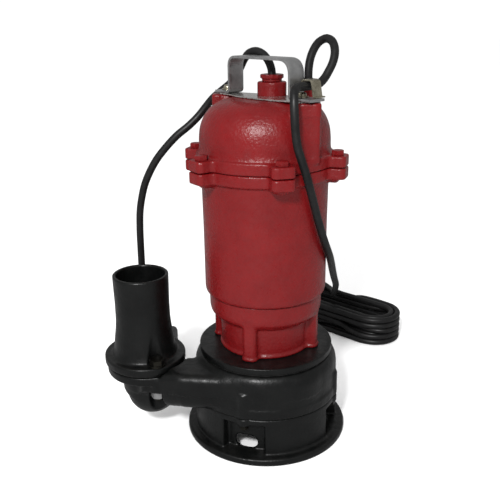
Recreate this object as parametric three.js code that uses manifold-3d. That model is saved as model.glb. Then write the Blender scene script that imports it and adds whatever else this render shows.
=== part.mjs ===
// Submersible sewage pump: a red electric motor over a black cast-iron volute on a round foot.
// Millimetres, +Z up. The shaft axis is vertical. The frame's origin is on the floor, under the
// middle of the pump and its discharge elbow together.
import * as THREE from "three";
import { mergeVertices } from "three/addons/utils/BufferGeometryUtils.js";
import Module from "manifold-3d";

const wasm = await Module();
wasm.setup();

// ---- driving dimensions ----
const GAP = 0.3; // kept between pieces that touch
const TURN = Math.PI * 2;
const LARGE = 30; // sides of a large round piece
const MEDIUM = 20;
const SMALL = 10;

const foot = { r: 91, flange: 8.3, wall: 81, inner: 67, lip: 62, top: 50, inlet: 30 };
const lug = { count: 4, angle: -18, r: 76.8, size: 6.8, top: 80 }; // joins the volute to the foot
const recess = { half: 17, r: 71.5, top: 43 };
const inlet = { width: 25.6, height: 17, corner: 8 };

const volute = { base: foot.top + GAP, wall: 80.5, floor: 56, cavity: 62, mouth: 98.6 };
const gasket = { inner: 62.6, outer: 73.5, low: 98.9, top: 99.9 };
const cover = { r: 74.5, low: 100.2, top: 107.1, spigot: 61.5, hub: 14 };

const chamber = { low: 107.4, core: 49.5, rib: 52.5, ribSize: 7.5, ribTop: 147, band: 61.5, top: 170.3 };
const barrel = { low: 170.6, r: 66.6, bore: 60, flangeLow: 299, top: 310.4 };
const joint = { r: 71, angles: [12, 72, 132, 192, 252, 306], lugR: 76.5, lugSize: 10.5, bolt: 77 };
const dome = { low: 311, flange: 322.3, r: 68, flat: 376, bore: 60 };

const shaft = { r: 7.5, tip: 6, low: 57, top: 303, wheel: 9 };
const bearing = { outer: 17.5, height: 11, lower: 152.5, upper: 290 };
const stator = { low: 196, top: 264, outer: 59.7, inner: 32 };
const impeller = { r: 52, low: 62, plate: 86, top: 90, hub: 13 };

const outlet = { x: -137, y: -6.2, rim: 189.2, r: 30.4, bore: 26.9, flangeLow: 86.5, flangeTop: 95.5 };
const elbow = { r: 27, bore: 20, flangeLow: 75, flangeTop: 84.7, reach: 46.1 };
const stud = { count: 2, angle: 27, r: 40.5, hole: 5.3, shank: 4.8, boss: 66, af: 15 };

const strap = { angle: -47, leg: 45.5, width: 20, thick: 2.6, base: 378.2, top: 417, tab: 27, rearTab: 21, corner: 9 };
const strapBosses = [[24.5, -54, 53, -29], [-55, 31, -27, 51]]; // low x, low y, high x, high y
const topPlate = { low: 376.3, top: 377.9, length: 122, width: 34 };
const centreGland = { x: 7.7, y: 13, r: 15, neck: 10.2, cap: 12, low: 376.3, top: 391.5 };
const rearGland = { x: 45, y: 15, r: 13, neck: 9.4, cap: 11, low: 330, top: 386 };

const cord = { d: 8.4, sides: 8 };
const hank = { x: 114, y: 271, angle: -41, run: 125, outer: 38.2, inner: 20.9, height: 41.5 };

// The frame's origin is midway between the elbow's far side and the foot's right side.
const frameShift = (-outlet.x + elbow.reach - foot.r) / 2;

// ---- finishes ----
const finish = (color, roughness, metalness) =>
  new THREE.MeshStandardMaterial({ color, roughness, metalness });
const redPaint = finish(0xa3202b, 0.35, 0.1);
const blackIron = finish(0x14151a, 0.4, 0.3);
const steel = finish(0xa9aba8, 0.35, 0.9);
const brass = finish(0xb9a877, 0.35, 0.9);
const rubber = finish(0x15171b, 0.6, 0);
const copper = finish(0xb87333, 0.4, 0.9);
const laminations = finish(0x6d7076, 0.5, 0.7);
const ceramic = finish(0xe4e0d6, 0.4, 0);
const greyPlastic = finish(0xc9c7bf, 0.5, 0);

// ---- solids ----
function manifoldOf(vertices, triangles) {
  return new wasm.Manifold(new wasm.Mesh({ numProp: 3, vertProperties: vertices, triVerts: triangles }));
}

// A closed geometry as a solid that faces outwards.
function solid(geometry) {
  geometry.deleteAttribute("normal");
  geometry.deleteAttribute("uv");
  const merged = mergeVertices(geometry, 1e-4);
  const triangles = new Uint32Array(merged.index.array);
  const made = manifoldOf(merged.attributes.position.array, triangles);
  if (made.volume() > 0) return made;
  for (let i = 0; i < triangles.length; i += 3) {
    const second = triangles[i + 1];
    triangles[i + 1] = triangles[i + 2];
    triangles[i + 2] = second;
  }
  return manifoldOf(merged.attributes.position.array, triangles);
}

const join = (...pieces) => pieces.reduce((all, piece) => all.add(piece));
const cut = (piece, ...tools) => tools.reduce((left, tool) => left.subtract(tool), piece);

const group = new THREE.Group();
const pump = new THREE.Group();
pump.position.x = frameShift;
group.add(pump);

function add(name, made, material) {
  const mesh = made.getMesh();
  const geometry = new THREE.BufferGeometry();
  geometry.setAttribute("position", new THREE.BufferAttribute(mesh.vertProperties, 3));
  geometry.setIndex(new THREE.BufferAttribute(mesh.triVerts, 1));
  geometry.computeVertexNormals();
  const node = new THREE.Mesh(geometry, material);
  node.name = name;
  pump.add(node);
}

const radians = (degrees) => (degrees * Math.PI) / 180;
// A point at an angle from the front (-Y) towards +X.
const around = (angle, r) => [r * Math.sin(radians(angle)), -r * Math.cos(radians(angle))];

// A profile of [radius, height] pairs turned about +Z. A hollow one closes on itself.
function turned(profile, segments = LARGE, x = 0, y = 0) {
  const points = profile.map(([r, z]) => new THREE.Vector2(r, z));
  if (profile[0][0] > 0) points.push(points[0].clone());
  const geometry = new THREE.LatheGeometry(points, segments);
  geometry.rotateX(Math.PI / 2);
  geometry.translate(x, y, 0);
  return solid(geometry);
}

const disc = (r, low, top, x = 0, y = 0, segments = SMALL) =>
  turned([[0, low], [r, low], [r, top], [0, top]], segments, x, y);
const ring = (inner, outer, low, top, segments = LARGE, x = 0, y = 0) =>
  turned([[inner, low], [outer, low], [outer, top], [inner, top]], segments, x, y);

// A flat outline raised from one height to another.
function raised(shape, low, top, curveSegments = 8) {
  const geometry = new THREE.ExtrudeGeometry(shape, {
    depth: top - low,
    bevelEnabled: false,
    curveSegments,
  });
  geometry.translate(0, 0, low);
  return solid(geometry);
}

function block(wide, deep, low, top, x = 0, y = 0, angle = 0) {
  const geometry = new THREE.BoxGeometry(wide, deep, top - low);
  geometry.translate(0, 0, (low + top) / 2);
  geometry.rotateZ(radians(angle));
  geometry.translate(x, y, 0);
  return solid(geometry);
}

// A hexagon prism, given by its width across flats.
function hexagon(af, low, top, x, y) {
  return disc(af / Math.sqrt(3), low, top, x, y, 6);
}

// A tube or bar of round section along points.
function swept(points, r, sides = cord.sides, steps = 30) {
  const path = new THREE.CatmullRomCurve3(points.map((p) => new THREE.Vector3(...p)));
  const section = new THREE.Shape();
  for (let i = 0; i < sides; i++) {
    const angle = (i * TURN) / sides;
    const x = r * Math.cos(angle);
    const y = r * Math.sin(angle);
    if (i) section.lineTo(x, y);
    else section.moveTo(x, y);
  }
  return solid(new THREE.ExtrudeGeometry(section, { steps, extrudePath: path, bevelEnabled: false }));
}

function ball(r, x, y, z) {
  const geometry = new THREE.SphereGeometry(r, 20, 12);
  geometry.translate(x, y, z);
  return solid(geometry);
}

// ---- foot ----
function sector(inner, outer, middle, half, low, top) {
  const from = radians(middle - half - 90);
  const to = radians(middle + half - 90);
  const shape = new THREE.Shape();
  shape.absarc(0, 0, outer, from, to, false);
  shape.absarc(0, 0, inner, to, from, true);
  return raised(shape, low, top, 6);
}

// A rounded opening cut outwards from the axis, standing on the flange.
function inletWindow(angle) {
  const w = inlet.width / 2;
  const h = inlet.height;
  const c = inlet.corner;
  const low = foot.flange;
  const shape = new THREE.Shape();
  shape.moveTo(-w + 3, low);
  shape.lineTo(w - 3, low);
  shape.quadraticCurveTo(w, low, w, low + 3);
  shape.lineTo(w, low + h - c);
  shape.quadraticCurveTo(w, low + h, w - c, low + h);
  shape.lineTo(-w + c, low + h);
  shape.quadraticCurveTo(-w, low + h, -w, low + h - c);
  shape.lineTo(-w, low + 3);
  shape.quadraticCurveTo(-w, low, -w + 3, low);
  const geometry = new THREE.ExtrudeGeometry(shape, { depth: 40, bevelEnabled: false, curveSegments: 3 });
  geometry.translate(0, 0, 50);
  geometry.rotateX(Math.PI / 2);
  geometry.rotateZ(radians(angle));
  return solid(geometry);
}

const lugAngles = Array.from({ length: lug.count }, (_, i) => lug.angle + (i * 360) / lug.count);

function pumpStand() {
  let made = turned([
    [foot.lip, 0], [foot.r, 0], [foot.r, 6.8], [foot.r - 1.5, foot.flange], [foot.wall + 0.8, foot.flange],
    [foot.wall, 9.2], [foot.wall, foot.top], [foot.inlet, foot.top], [foot.inlet, recess.top],
    [foot.inner, recess.top], [foot.inner, 4],
  ]);
  for (const angle of lugAngles) {
    made = cut(made, sector(recess.r, 100, angle, recess.half, foot.flange + 0.02, recess.top));
    made = cut(made, inletWindow(angle));
  }
  for (const angle of lugAngles) {
    const [x, y] = around(angle, lug.r);
    made = join(made, disc(lug.size, recess.top, foot.top, x, y));
    made = cut(made, disc(3.4, recess.top - 1, foot.top + 1, x, y));
  }
  return made;
}

// ---- volute ----
const neckRoute = [[12, -45, 74], [-40, -44, 74], [-80, -38, 72], [-104, -28, 66], [-121, -17, 58]];

// The flanges at the elbow are a little wider at each bolt.
function lobed(mean, swing, low, top) {
  const shape = new THREE.Shape();
  const count = 36;
  for (let i = 0; i < count; i++) {
    const angle = (i * 360) / count;
    const r = mean + swing * Math.cos(radians(stud.count * (angle - stud.angle)));
    const [x, y] = around(angle, r);
    if (i) shape.lineTo(outlet.x + x, outlet.y + y);
    else shape.moveTo(outlet.x + x, outlet.y + y);
  }
  return raised(shape, low, top);
}

const studPlaces = Array.from({ length: stud.count }, (_, i) => {
  const [x, y] = around(stud.angle + (i * 360) / stud.count, stud.r);
  return [outlet.x + x, outlet.y + y];
});

function voluteCasing() {
  let made = turned([
    [0, volute.base], [foot.wall + 1, volute.base], [foot.wall + 1, 61], [volute.wall, 62.5],
    [volute.wall, 84], [volute.wall - 1.6, 90.5], [volute.wall - 4.6, 95.6],
    [cover.r - 0.4, volute.mouth], [0, volute.mouth],
  ]);
  for (const angle of lugAngles) {
    const [x, y] = around(angle, lug.r);
    made = join(made, turned([
      [0, volute.base], [lug.size, volute.base], [lug.size, lug.top - 4],
      [lug.size - 2.5, lug.top - 1], [0, lug.top],
    ], SMALL, x, y));
  }
  made = join(
    made,
    swept(neckRoute, elbow.r, 20, 9),
    ball(elbow.r + 1.5, -130, -9.5, 50.6),
    disc(elbow.r, 52, elbow.flangeLow + 1, outlet.x, outlet.y, MEDIUM),
    lobed(45, 2.5, elbow.flangeLow, elbow.flangeTop),
  );
  for (const [x, y] of studPlaces) made = join(made, disc(9.5, stud.boss, elbow.flangeLow + 1, x, y));
  made = cut(
    made,
    disc(foot.wall + 2, 30, volute.base, 0, 0, LARGE), // the neck stays clear of the foot
    disc(cover.r + 1, volute.mouth, 110, 0, 0, LARGE), // and of the cover
    disc(50, elbow.flangeTop, 110, outlet.x, outlet.y, LARGE), // and of the tube's flange
    disc(28, volute.base - 1, volute.floor + 1, 0, 0, MEDIUM),
    disc(volute.cavity, volute.floor, volute.mouth + 1, 0, 0, LARGE),
    swept(neckRoute.map(([x, y, z]) => [x, y, z + 1]), elbow.bore - 2, 12, 9),
    ball(elbow.bore + 1, -131.5, -10, 56),
    disc(23, 60, elbow.flangeTop + 1, outlet.x, outlet.y, MEDIUM),
  );
  for (const [x, y] of studPlaces) {
    made = cut(made, disc(stud.hole, 40, 90, x, y), disc(10.5, 40, stud.boss, x, y));
  }
  for (const angle of lugAngles) {
    const [x, y] = around(angle, lug.r);
    made = cut(made, disc(3.4, volute.base - 1, 73, x, y));
  }
  return made;
}

function standBolt(angle) {
  const [x, y] = around(angle, lug.r);
  return join(hexagon(9, 36.5, recess.top - GAP, x, y), disc(3.1, 42, 71, x, y));
}

const wearPlate = () => ring(29, 60.5, volute.floor + GAP, 60.3);

function pumpCover() {
  return turned([
    [cover.hub, 93], [cover.spigot, 93], [cover.spigot, cover.low], [cover.r, cover.low],
    [cover.r, cover.top - 1], [cover.r - 1, cover.top], [cover.hub, cover.top],
  ]);
}

// A hub and back plate with two long curved blades under it, which lets solids through.
function wheel() {
  let made = join(
    ring(shaft.tip + GAP, impeller.hub, 65, impeller.top, MEDIUM),
    ring(shaft.tip + GAP, impeller.r, impeller.plate, impeller.top),
  );
  for (const turn of [0, 180]) {
    const shape = new THREE.Shape();
    shape.absarc(-18, 0, 30, radians(0), radians(84), false);
    shape.absarc(-18, 0, 35, radians(84), radians(0), true);
    const blade = new THREE.ExtrudeGeometry(shape, { depth: 23, bevelEnabled: false, curveSegments: 6 });
    blade.translate(0, 8, impeller.low + 2);
    blade.rotateZ(radians(turn));
    made = join(made, solid(blade));
  }
  return made;
}

const impellerNut = () => cut(hexagon(17, 58, 64.7, 0, 0), disc(shaft.tip + GAP, 50, 70, 0, 0, MEDIUM));

// ---- shaft seal and shaft ----
const sealHead = () => turned([
  [shaft.r + GAP, 96.5], [11, 96.5], [12.5, 99], [12.5, 105], [11.5, 107.6], [shaft.r + GAP, 107.6],
], MEDIUM);
const sealSeat = () => turned([
  [shaft.r + 0.8, 107.9], [12.6, 107.9], [12.6, 112.6], [15.6, 112.9], [15.6, 117], [shaft.r + 0.8, 117],
], MEDIUM);

function motorShaft() {
  return turned([
    [0, shaft.low], [shaft.tip - 0.6, shaft.low], [shaft.tip, shaft.low + 1], [shaft.tip, 93],
    [shaft.r, 93.5], [shaft.r, 164], [shaft.wheel, 166], [shaft.wheel, 288], [shaft.r, 289.5],
    [shaft.r, shaft.top - 1], [shaft.r - 1, shaft.top], [0, shaft.top],
  ], 20);
}

function ballBearing(low) {
  const high = low + bearing.height;
  return turned([
    [shaft.r + 0.06, low], [bearing.outer, low], [bearing.outer, high], [shaft.r + 0.06, high],
  ], 28);
}

// ---- motor ----
function oilChamber() {
  let made = turned([
    [13, chamber.low], [chamber.core + 0.6, chamber.low], [chamber.core + 0.6, 110.8],
    [chamber.core - 0.8, 112.2], [chamber.core + 0.8, 141], [56.4, 145.4], [59.6, 148.6],
    [61, 152.5], [chamber.band, 157], [chamber.band, chamber.top], [55.5, chamber.top], [54, 157],
    [24, 157], [24, 164], [17.8, 164], [17.8, 152.2], [12, 152.2], [12, 146], [42, 146],
    [42, 117.6], [16, 117.6], [16, 112.6], [13, 112.6],
  ]);
  for (const angle of lugAngles) {
    const [x, y] = around(angle, chamber.rib);
    const [bx, by] = around(angle, chamber.rib - 3);
    made = join(
      made,
      disc(chamber.ribSize, chamber.low, chamber.ribTop, x, y),
      block(chamber.ribSize * 2, 6, chamber.low, chamber.ribTop, bx, by, angle),
    );
  }
  return made;
}


// A flange with a rounded lug at each bolt.
function flanged(body, low, top) {
  let made = body;
  for (const angle of joint.angles) {
    const [x, y] = around(angle, joint.lugR);
    const [bx, by] = around(angle, 70);
    made = join(
      made,
      disc(joint.lugSize, low, top, x, y),
      block(joint.lugSize * 2, 13, low, top, bx, by, angle),
    );
  }
  return made;
}

function motorBarrel() {
  const r = barrel.r;
  let made = turned([
    [56, barrel.low], [r - 3, barrel.low], [r - 1.4, 172.2], [r - 0.6, 176], [r - 0.6, 240], [r, 290],
    [r + 0.6, 297.6], [r + 2, barrel.flangeLow], [joint.r, barrel.flangeLow], [joint.r, barrel.top],
    [barrel.bore, barrel.top], [barrel.bore, 180], [57.5, 176],
  ]);
  made = flanged(made, barrel.flangeLow, barrel.top);
  made = cut(made, disc(barrel.bore, 200, barrel.top + 1, 0, 0, LARGE));
  for (const angle of joint.angles) {
    const [x, y] = around(angle, joint.bolt);
    made = cut(made, disc(3.4, barrel.flangeLow + 3, barrel.top + 1, x, y));
  }
  return made;
}

function topCover() {
  let made = turned([
    [0, dome.flat], [36, dome.flat], [46, 373.6], [56, 367.6], [62.6, 359], [66.6, 349],
    [dome.r, 338], [dome.r, 325], [dome.r + 1.6, dome.flange], [joint.r, dome.flange],
    [joint.r, dome.low], [dome.bore, dome.low], [dome.bore, 338], [56, 352], [46, 362], [30, 369],
    [0, 369],
  ]);
  made = flanged(made, dome.low, dome.flange);
  for (const [x0, y0, x1, y1] of strapBosses) {
    made = join(made, block(x1 - x0, y1 - y0, dome.flange - 3, dome.flat, (x0 + x1) / 2, (y0 + y1) / 2));
  }
  made = join(made, disc(rearGland.r, rearGland.low, rearGland.top, rearGland.x, rearGland.y, MEDIUM));
  made = cut(
    made,
    turned([[0, 300], [dome.bore, 300], [dome.bore, 338], [56, 352], [46, 362], [30, 369], [0, 369]]),
    disc(6.5, 330, rearGland.top + 1, rearGland.x, rearGland.y, SMALL),
    disc(6.5, 360, dome.flat + 1, centreGland.x, centreGland.y, SMALL),
  );
  for (const angle of joint.angles) {
    const [x, y] = around(angle, joint.bolt);
    made = cut(made, disc(3.4, dome.low - 1, dome.flange + 1, x, y));
  }
  for (const [x, y] of strapScrews) made = cut(made, disc(2.8, dome.flat - 12, dome.flat + 1, x, y));
  return made;
}

function coverBolt(angle) {
  const [x, y] = around(angle, joint.bolt);
  return join(
    hexagon(12, dome.flange + GAP, dome.flange + 4.9, x, y),
    disc(3.1, barrel.flangeLow + 4, dome.flange + 2, x, y),
  );
}

const barrelGasket = () => ring(61, 70, barrel.top + 0.15, dome.low - 0.15);

// The plate that holds the upper bearing in the barrel.
const bearingShield = () => turned([
  [17.8, 287], [24, 287], [24, 291], [59.7, 291], [59.7, 297], [24, 297], [24, 301.3], [17.8, 301.3],
]);

const statorCore = () => ring(stator.inner, stator.outer, stator.low, stator.top);
const windingHead = (low, top) => turned([
  [36, low + 3], [40, low], [51, low], [55, low + 3], [55, top - 3], [51, top], [40, top], [36, top - 3],
], MEDIUM);
const rotorCore = () => ring(shaft.wheel + GAP, stator.inner - 0.6, stator.low - 2, stator.top + 2, LARGE);
const capacitor = () => disc(16, 312, 356, -22, 8, MEDIUM);

// ---- lifting strap ----
const along = around(strap.angle + 90, 1);
const strapScrews = [52.5, -57].map((reach) => [reach * along[0], reach * along[1]]);

// A flat bar bent into a bridge, with a tab turned outwards at each foot.
function liftingStrap() {
  const t = strap.thick;
  const s = new THREE.Shape();
  const leg = strap.leg;
  const c = strap.corner;
  const out = leg + strap.tab;
  const back = leg + strap.rearTab;
  s.moveTo(-back, strap.base);
  s.lineTo(-leg + t, strap.base);
  s.lineTo(-leg + t, strap.top - c);
  s.quadraticCurveTo(-leg + t, strap.top - t, -leg + c, strap.top - t);
  s.lineTo(leg - c, strap.top - t);
  s.quadraticCurveTo(leg - t, strap.top - t, leg - t, strap.top - c);
  s.lineTo(leg - t, strap.base);
  s.lineTo(out, strap.base);
  s.lineTo(out, strap.base + t);
  s.lineTo(leg, strap.base + t);
  s.lineTo(leg, strap.top - c - 1);
  s.quadraticCurveTo(leg, strap.top, leg - c - 1, strap.top);
  s.lineTo(-leg + c + 1, strap.top);
  s.quadraticCurveTo(-leg, strap.top, -leg, strap.top - c - 1);
  s.lineTo(-leg, strap.base + t);
  s.lineTo(-back, strap.base + t);
  s.closePath();
  const geometry = new THREE.ExtrudeGeometry(s, {
    depth: strap.width,
    bevelEnabled: false,
    curveSegments: 4,
  });
  geometry.translate(0, 0, -strap.width / 2);
  geometry.rotateX(Math.PI / 2);
  geometry.rotateZ(radians(strap.angle));
  let made = solid(geometry);
  for (const [x, y] of strapScrews) made = cut(made, disc(3.1, strap.base - 1, strap.base + 5, x, y));
  return made;
}

function strapScrew(x, y) {
  return join(
    disc(6.2, strap.base + strap.thick + GAP, strap.base + strap.thick + 1.4, x, y),
    turned([[0, 380], [4.6, 380], [4.6, 384.2], [3.2, 385.8], [0, 386.2]], 20, x, y)
      .intersect(disc(8, strap.base + strap.thick + 1, 390, x, y)),
    disc(2.5, 366, strap.base + 5, x, y),
  );
}

function plate() {
  const l = topPlate.length / 2;
  const w = topPlate.width / 2;
  const s = new THREE.Shape();
  s.moveTo(-l, -9.6);
  s.quadraticCurveTo(-30, -w, 0, -w);
  s.quadraticCurveTo(30, -w, l, -9.6);
  s.lineTo(l, 9.6);
  s.quadraticCurveTo(30, w, 0, w);
  s.quadraticCurveTo(-30, w, -l, 9.6);
  s.closePath();
  const geometry = new THREE.ExtrudeGeometry(s, {
    depth: topPlate.top - topPlate.low,
    bevelEnabled: false,
    curveSegments: 4,
  });
  geometry.rotateZ(radians(strap.angle));
  geometry.translate(0, 0, topPlate.low);
  let made = solid(geometry);
  made = cut(made, disc(centreGland.r + GAP, 370, 380, centreGland.x, centreGland.y, MEDIUM));
  for (const [x, y] of strapScrews) made = cut(made, disc(3.1, 370, 380, x, y));
  return made;
}

// ---- cable glands ----
function glandBody(g, top) {
  return turned([[5.7, g.low], [g.r, g.low], [g.r, top - 1], [g.r - 1, top], [5.7, top]], MEDIUM, g.x, g.y);
}
function glandCap(g, low) {
  return turned([
    [5.7, low], [g.neck, low], [g.neck, low + 2.4], [g.cap, low + 3.4], [g.cap, low + 6.4],
    [g.cap - 1, low + 7], [5.7, low + 7],
  ], MEDIUM, g.x, g.y);
}
// The rubber sleeve that keeps the cord from bending sharply where it leaves the gland.
function glandSleeve(g, low) {
  return turned([
    [cord.d / 2 + GAP, low], [5.3, low], [5.3, low + 8], [4.9, low + 10.5], [cord.d / 2 + GAP, low + 10.5],
  ], MEDIUM, g.x, g.y);
}

// A bent strip that holds the supply cord down beside the strap: a foot turned out on the right,
// an arch over the cord and a short lip on the left.
function cordClip() {
  const s = new THREE.Shape();
  s.moveTo(13, -2.8);
  s.lineTo(13, -1.4);
  s.lineTo(9.4, -1.4);
  s.lineTo(6.6, 11);
  s.quadraticCurveTo(5.8, 14, 3, 14);
  s.lineTo(-3, 14);
  s.quadraticCurveTo(-5.8, 14, -6.6, 11);
  s.lineTo(-7.4, 7);
  s.lineTo(-6, 6.6);
  s.lineTo(-5.2, 10.6);
  s.quadraticCurveTo(-4.6, 12.6, -2.6, 12.6);
  s.lineTo(2.6, 12.6);
  s.quadraticCurveTo(4.6, 12.6, 5.2, 10.6);
  s.lineTo(8.2, -2.8);
  s.closePath();
  const geometry = new THREE.ExtrudeGeometry(s, { depth: 13, bevelEnabled: false, curveSegments: 3 });
  geometry.translate(0, 0, -6.5);
  geometry.rotateX(Math.PI / 2);
  geometry.rotateZ(radians(-45.7));
  geometry.translate(44, -37, 383.9);
  return solid(geometry);
}

// ---- discharge ----
function dischargeTube() {
  const o = outlet;
  let made = join(
    turned([
      [0, o.flangeLow], [36.6, o.flangeLow], [36.6, 97], [34.4, 103], [33, 114], [31.2, 126],
      [30.2, 137], [30, 157], [o.r, 175], [30.6, o.rim - 1], [30, o.rim], [0, o.rim],
    ], 32, o.x, o.y),
    lobed(46.5, 1.5, o.flangeLow, o.flangeTop),
  );
  made = cut(made, turned([[0, 80], [23, 80], [24, 100], [26, 130], [o.bore, 192], [0, 192]], 32, o.x, o.y));
  for (const [x, y] of studPlaces) {
    made = cut(made, disc(stud.hole, 80, 100, x, y), disc(9.6, o.flangeTop, 108, x, y));
  }
  return made;
}

function dischargeGasket() {
  const sheet = lobed(44, 2, elbow.flangeTop + GAP, outlet.flangeLow - GAP);
  let made = cut(sheet, disc(24, 80, 90, outlet.x, outlet.y, MEDIUM));
  for (const [x, y] of studPlaces) made = cut(made, disc(stud.hole, 80, 90, x, y));
  return made;
}

function dischargeBolt([x, y]) {
  const seat = outlet.flangeTop + GAP;
  return join(
    disc(9, seat, seat + 1.8, x, y),
    hexagon(stud.af, seat + 1.7, seat + 8.2, x, y),
    disc(stud.shank, 54, seat + 2, x, y),
  );
}

function dischargeNut([x, y]) {
  const top = stud.boss - GAP;
  return cut(hexagon(stud.af, top - 8, top, x, y), disc(stud.shank + GAP, 50, 70, x, y));
}

// ---- cords and what is on them ----
const supplyRoute = [
  [45, 15, 393.6], [45.2, 15, 403], [46.4, 15.4, 412], [49.4, 15.4, 421], [54.4, 13.4, 429],
  [61.4, 8, 433.2], [67.2, -1, 430.4], [69, -8.6, 422.6], [67.2, -14.6, 413], [62.6, -19.6, 404],
  [57, -24.4, 396], [51, -30.2, 392], [44.4, -36.6, 391.6], [37.4, -43.4, 391.6], [31, -51, 391.6],
  [27.6, -59.6, 388.8], [27, -66, 380.4], [27.4, -68.8, 368], [28.4, -69, 353], [30.6, -69.4, 338],
  [34, -69.4, 327], [37.6, -67.8, 316], [41, -65, 305], [44, -60.6, 294], [48, -55.2, 279],
  [52.6, -49.4, 262], [60.2, -39, 237], [67.6, -20.6, 215], [72, 2, 199], [77, 30, 178.6],
  [82.6, 62, 157], [88, 95, 138], [92.4, 128, 120.6], [96, 165, 101], [99.6, 205, 80.4],
  [103, 242, 62.4], [105.4, 268, 52], [105, 290, 47], [99, 309, 46.2], [88, 325, 46.2],
];
const tailRoute = [
  [33.1, 338.6, 4.3], [24.6, 328.8, 4.3], [16, 319, 5.6], [7.5, 309.1, 10.2], [-1, 299.3, 15.2],
  [-9.6, 289.5, 17.8],
];
const floatRoute = [
  [7.7, 13, 396.6], [7.4, 13.6, 402.6], [5.4, 16, 409], [1.2, 20.8, 415.6], [-4.6, 26.6, 419.8],
  [-11, 33, 420.4], [-16.8, 39.2, 417.4], [-21.4, 45.4, 411], [-25.8, 51.8, 402], [-31, 58.4, 392.6],
  [-38.6, 64.6, 384], [-47.4, 66.6, 377], [-56.2, 63, 370], [-64, 55.4, 361.4], [-72, 49.4, 352],
  [-82, 46, 342.6], [-95.4, 44, 332.2], [-108, 43.6, 319.6], [-120.4, 43.6, 304.4],
  [-128.4, 44.6, 291], [-135.4, 46.4, 275.6], [-139.4, 48, 262], [-142.8, 49.4, 245.4],
  [-144.4, 50, 225], [-145, 50.4, 200], [-145.4, 51, 172], [-146, 53, 142], [-147, 57, 115],
  [-148, 63, 92], [-149, 72, 71], [-150, 81, 51], [-150, 89.6, 34.6], [-150, 98.6, 24],
  [-150, 105.6, 20.4], [-150, 113, 19.4],
];

// The wound part of the supply cord as one solid: two straight runs with round ends.
function leadCoil() {
  const half = hank.run / 2;
  const outline = (path, r) => {
    path.moveTo(half, -r);
    path.absarc(half, 0, r, -Math.PI / 2, Math.PI / 2, false);
    path.lineTo(-half, r);
    path.absarc(-half, 0, r, Math.PI / 2, Math.PI * 1.5, false);
    path.lineTo(half, -r);
  };
  const shape = new THREE.Shape();
  outline(shape, hank.outer);
  const hole = new THREE.Path();
  outline(hole, hank.inner);
  shape.holes.push(hole);
  const geometry = new THREE.ExtrudeGeometry(shape, {
    depth: hank.height,
    bevelEnabled: false,
    curveSegments: 8,
  });
  geometry.rotateZ(radians(hank.angle));
  geometry.translate(hank.x, hank.y, 0);
  return solid(geometry);
}

// A rubber band round the near run of the hank.
function coilTie() {
  const wide = hank.outer - hank.inner;
  const outer = block(9, wide + 3.6, 0, hank.height + 2.1, 0, 0);
  const middle = (hank.outer + hank.inner) / 2;
  const inner = block(12, wide + 0.8, -1, hank.height + 0.4, 0, 0);
  const turn = radians(hank.angle);
  const x = hank.x - middle * -Math.sin(turn) - 30 * Math.cos(turn);
  const y = hank.y - middle * Math.cos(turn) - 30 * Math.sin(turn);
  return cut(outer, inner).rotate([0, 0, hank.angle]).translate([x, y, 0]);
}

// A plug with two round pins, lying on its side. Its sleeve tapers down to the cord.
function mainsPlug() {
  const body = new THREE.LatheGeometry([
    [0, -46], [5.4, -46], [6.4, -30], [10, -18], [15.6, -13], [17.8, -9], [17.8, 0], [16.8, 1.4], [0, 1.4],
  ].map(([r, z]) => new THREE.Vector2(r, z)), 20);
  body.rotateZ(Math.PI / 2);
  let made = solid(body);
  for (const side of [-1, 1]) {
    const pin = new THREE.CylinderGeometry(2.4, 2.4, 21, 16);
    pin.rotateZ(Math.PI / 2);
    pin.translate(-10.5, side * 9.5, 0);
    made = join(made, solid(pin));
  }
  return made.rotate([0, 0, 90 + hank.angle]).translate([-41, 253.5, 17.9]);
}

// The float that holds the level switch, lying flat on the floor: narrow where the cord comes in,
// 50 mm wide at the far end and 36 mm thick.
function floatSwitch() {
  const s = new THREE.Shape();
  s.moveTo(-38, -9);
  s.quadraticCurveTo(-30, -24, 0, -25);
  s.lineTo(24, -25);
  s.quadraticCurveTo(40, -25, 40, -10);
  s.lineTo(40, 10);
  s.quadraticCurveTo(40, 25, 24, 25);
  s.lineTo(0, 25);
  s.quadraticCurveTo(-30, 24, -38, 9);
  s.closePath();
  const geometry = new THREE.ExtrudeGeometry(s, {
    depth: 26, bevelThickness: 5, bevelSize: 5, bevelOffset: -5, bevelSegments: 2, curveSegments: 4,
  });
  geometry.translate(0, 0, 5.1);
  geometry.rotateZ(Math.PI / 2);
  geometry.translate(-150, 152, 0);
  return solid(geometry);
}

// ---- assembly ----
add("pump_stand", pumpStand(), blackIron);
lugAngles.forEach((angle, i) => add("stand_bolt_" + (i + 1), standBolt(angle), steel));
add("volute_casing", voluteCasing(), blackIron);
add("wear_plate", wearPlate(), steel);
add("casing_gasket", ring(gasket.inner, gasket.outer, gasket.low, gasket.top), rubber);
add("pump_cover", pumpCover(), blackIron);
add("impeller", wheel(), blackIron);
add("impeller_nut", impellerNut(), brass);
add("seal_head", sealHead(), rubber);
add("seal_seat", sealSeat(), ceramic);
add("oil_chamber", oilChamber(), redPaint);
add("bearing_lower", ballBearing(bearing.lower), steel);
add("bearing_upper", ballBearing(bearing.upper), steel);
add("bearing_shield", bearingShield(), blackIron);
add("motor_barrel", motorBarrel(), redPaint);
add("stator_core", statorCore(), laminations);
add("winding_lower", windingHead(177.5, stator.low - GAP), copper);
add("winding_upper", windingHead(stator.top + GAP, 284), copper);
add("rotor_core", rotorCore(), laminations);
add("shaft", motorShaft(), steel);
add("barrel_gasket", barrelGasket(), rubber);
add("top_cover", topCover(), redPaint);
joint.angles.forEach((angle, i) => add("cover_bolt_" + (i + 1), coverBolt(angle), redPaint));
add("capacitor", capacitor(), greyPlastic);
add("gland_center", glandBody(centreGland, centreGland.top), redPaint);
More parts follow.
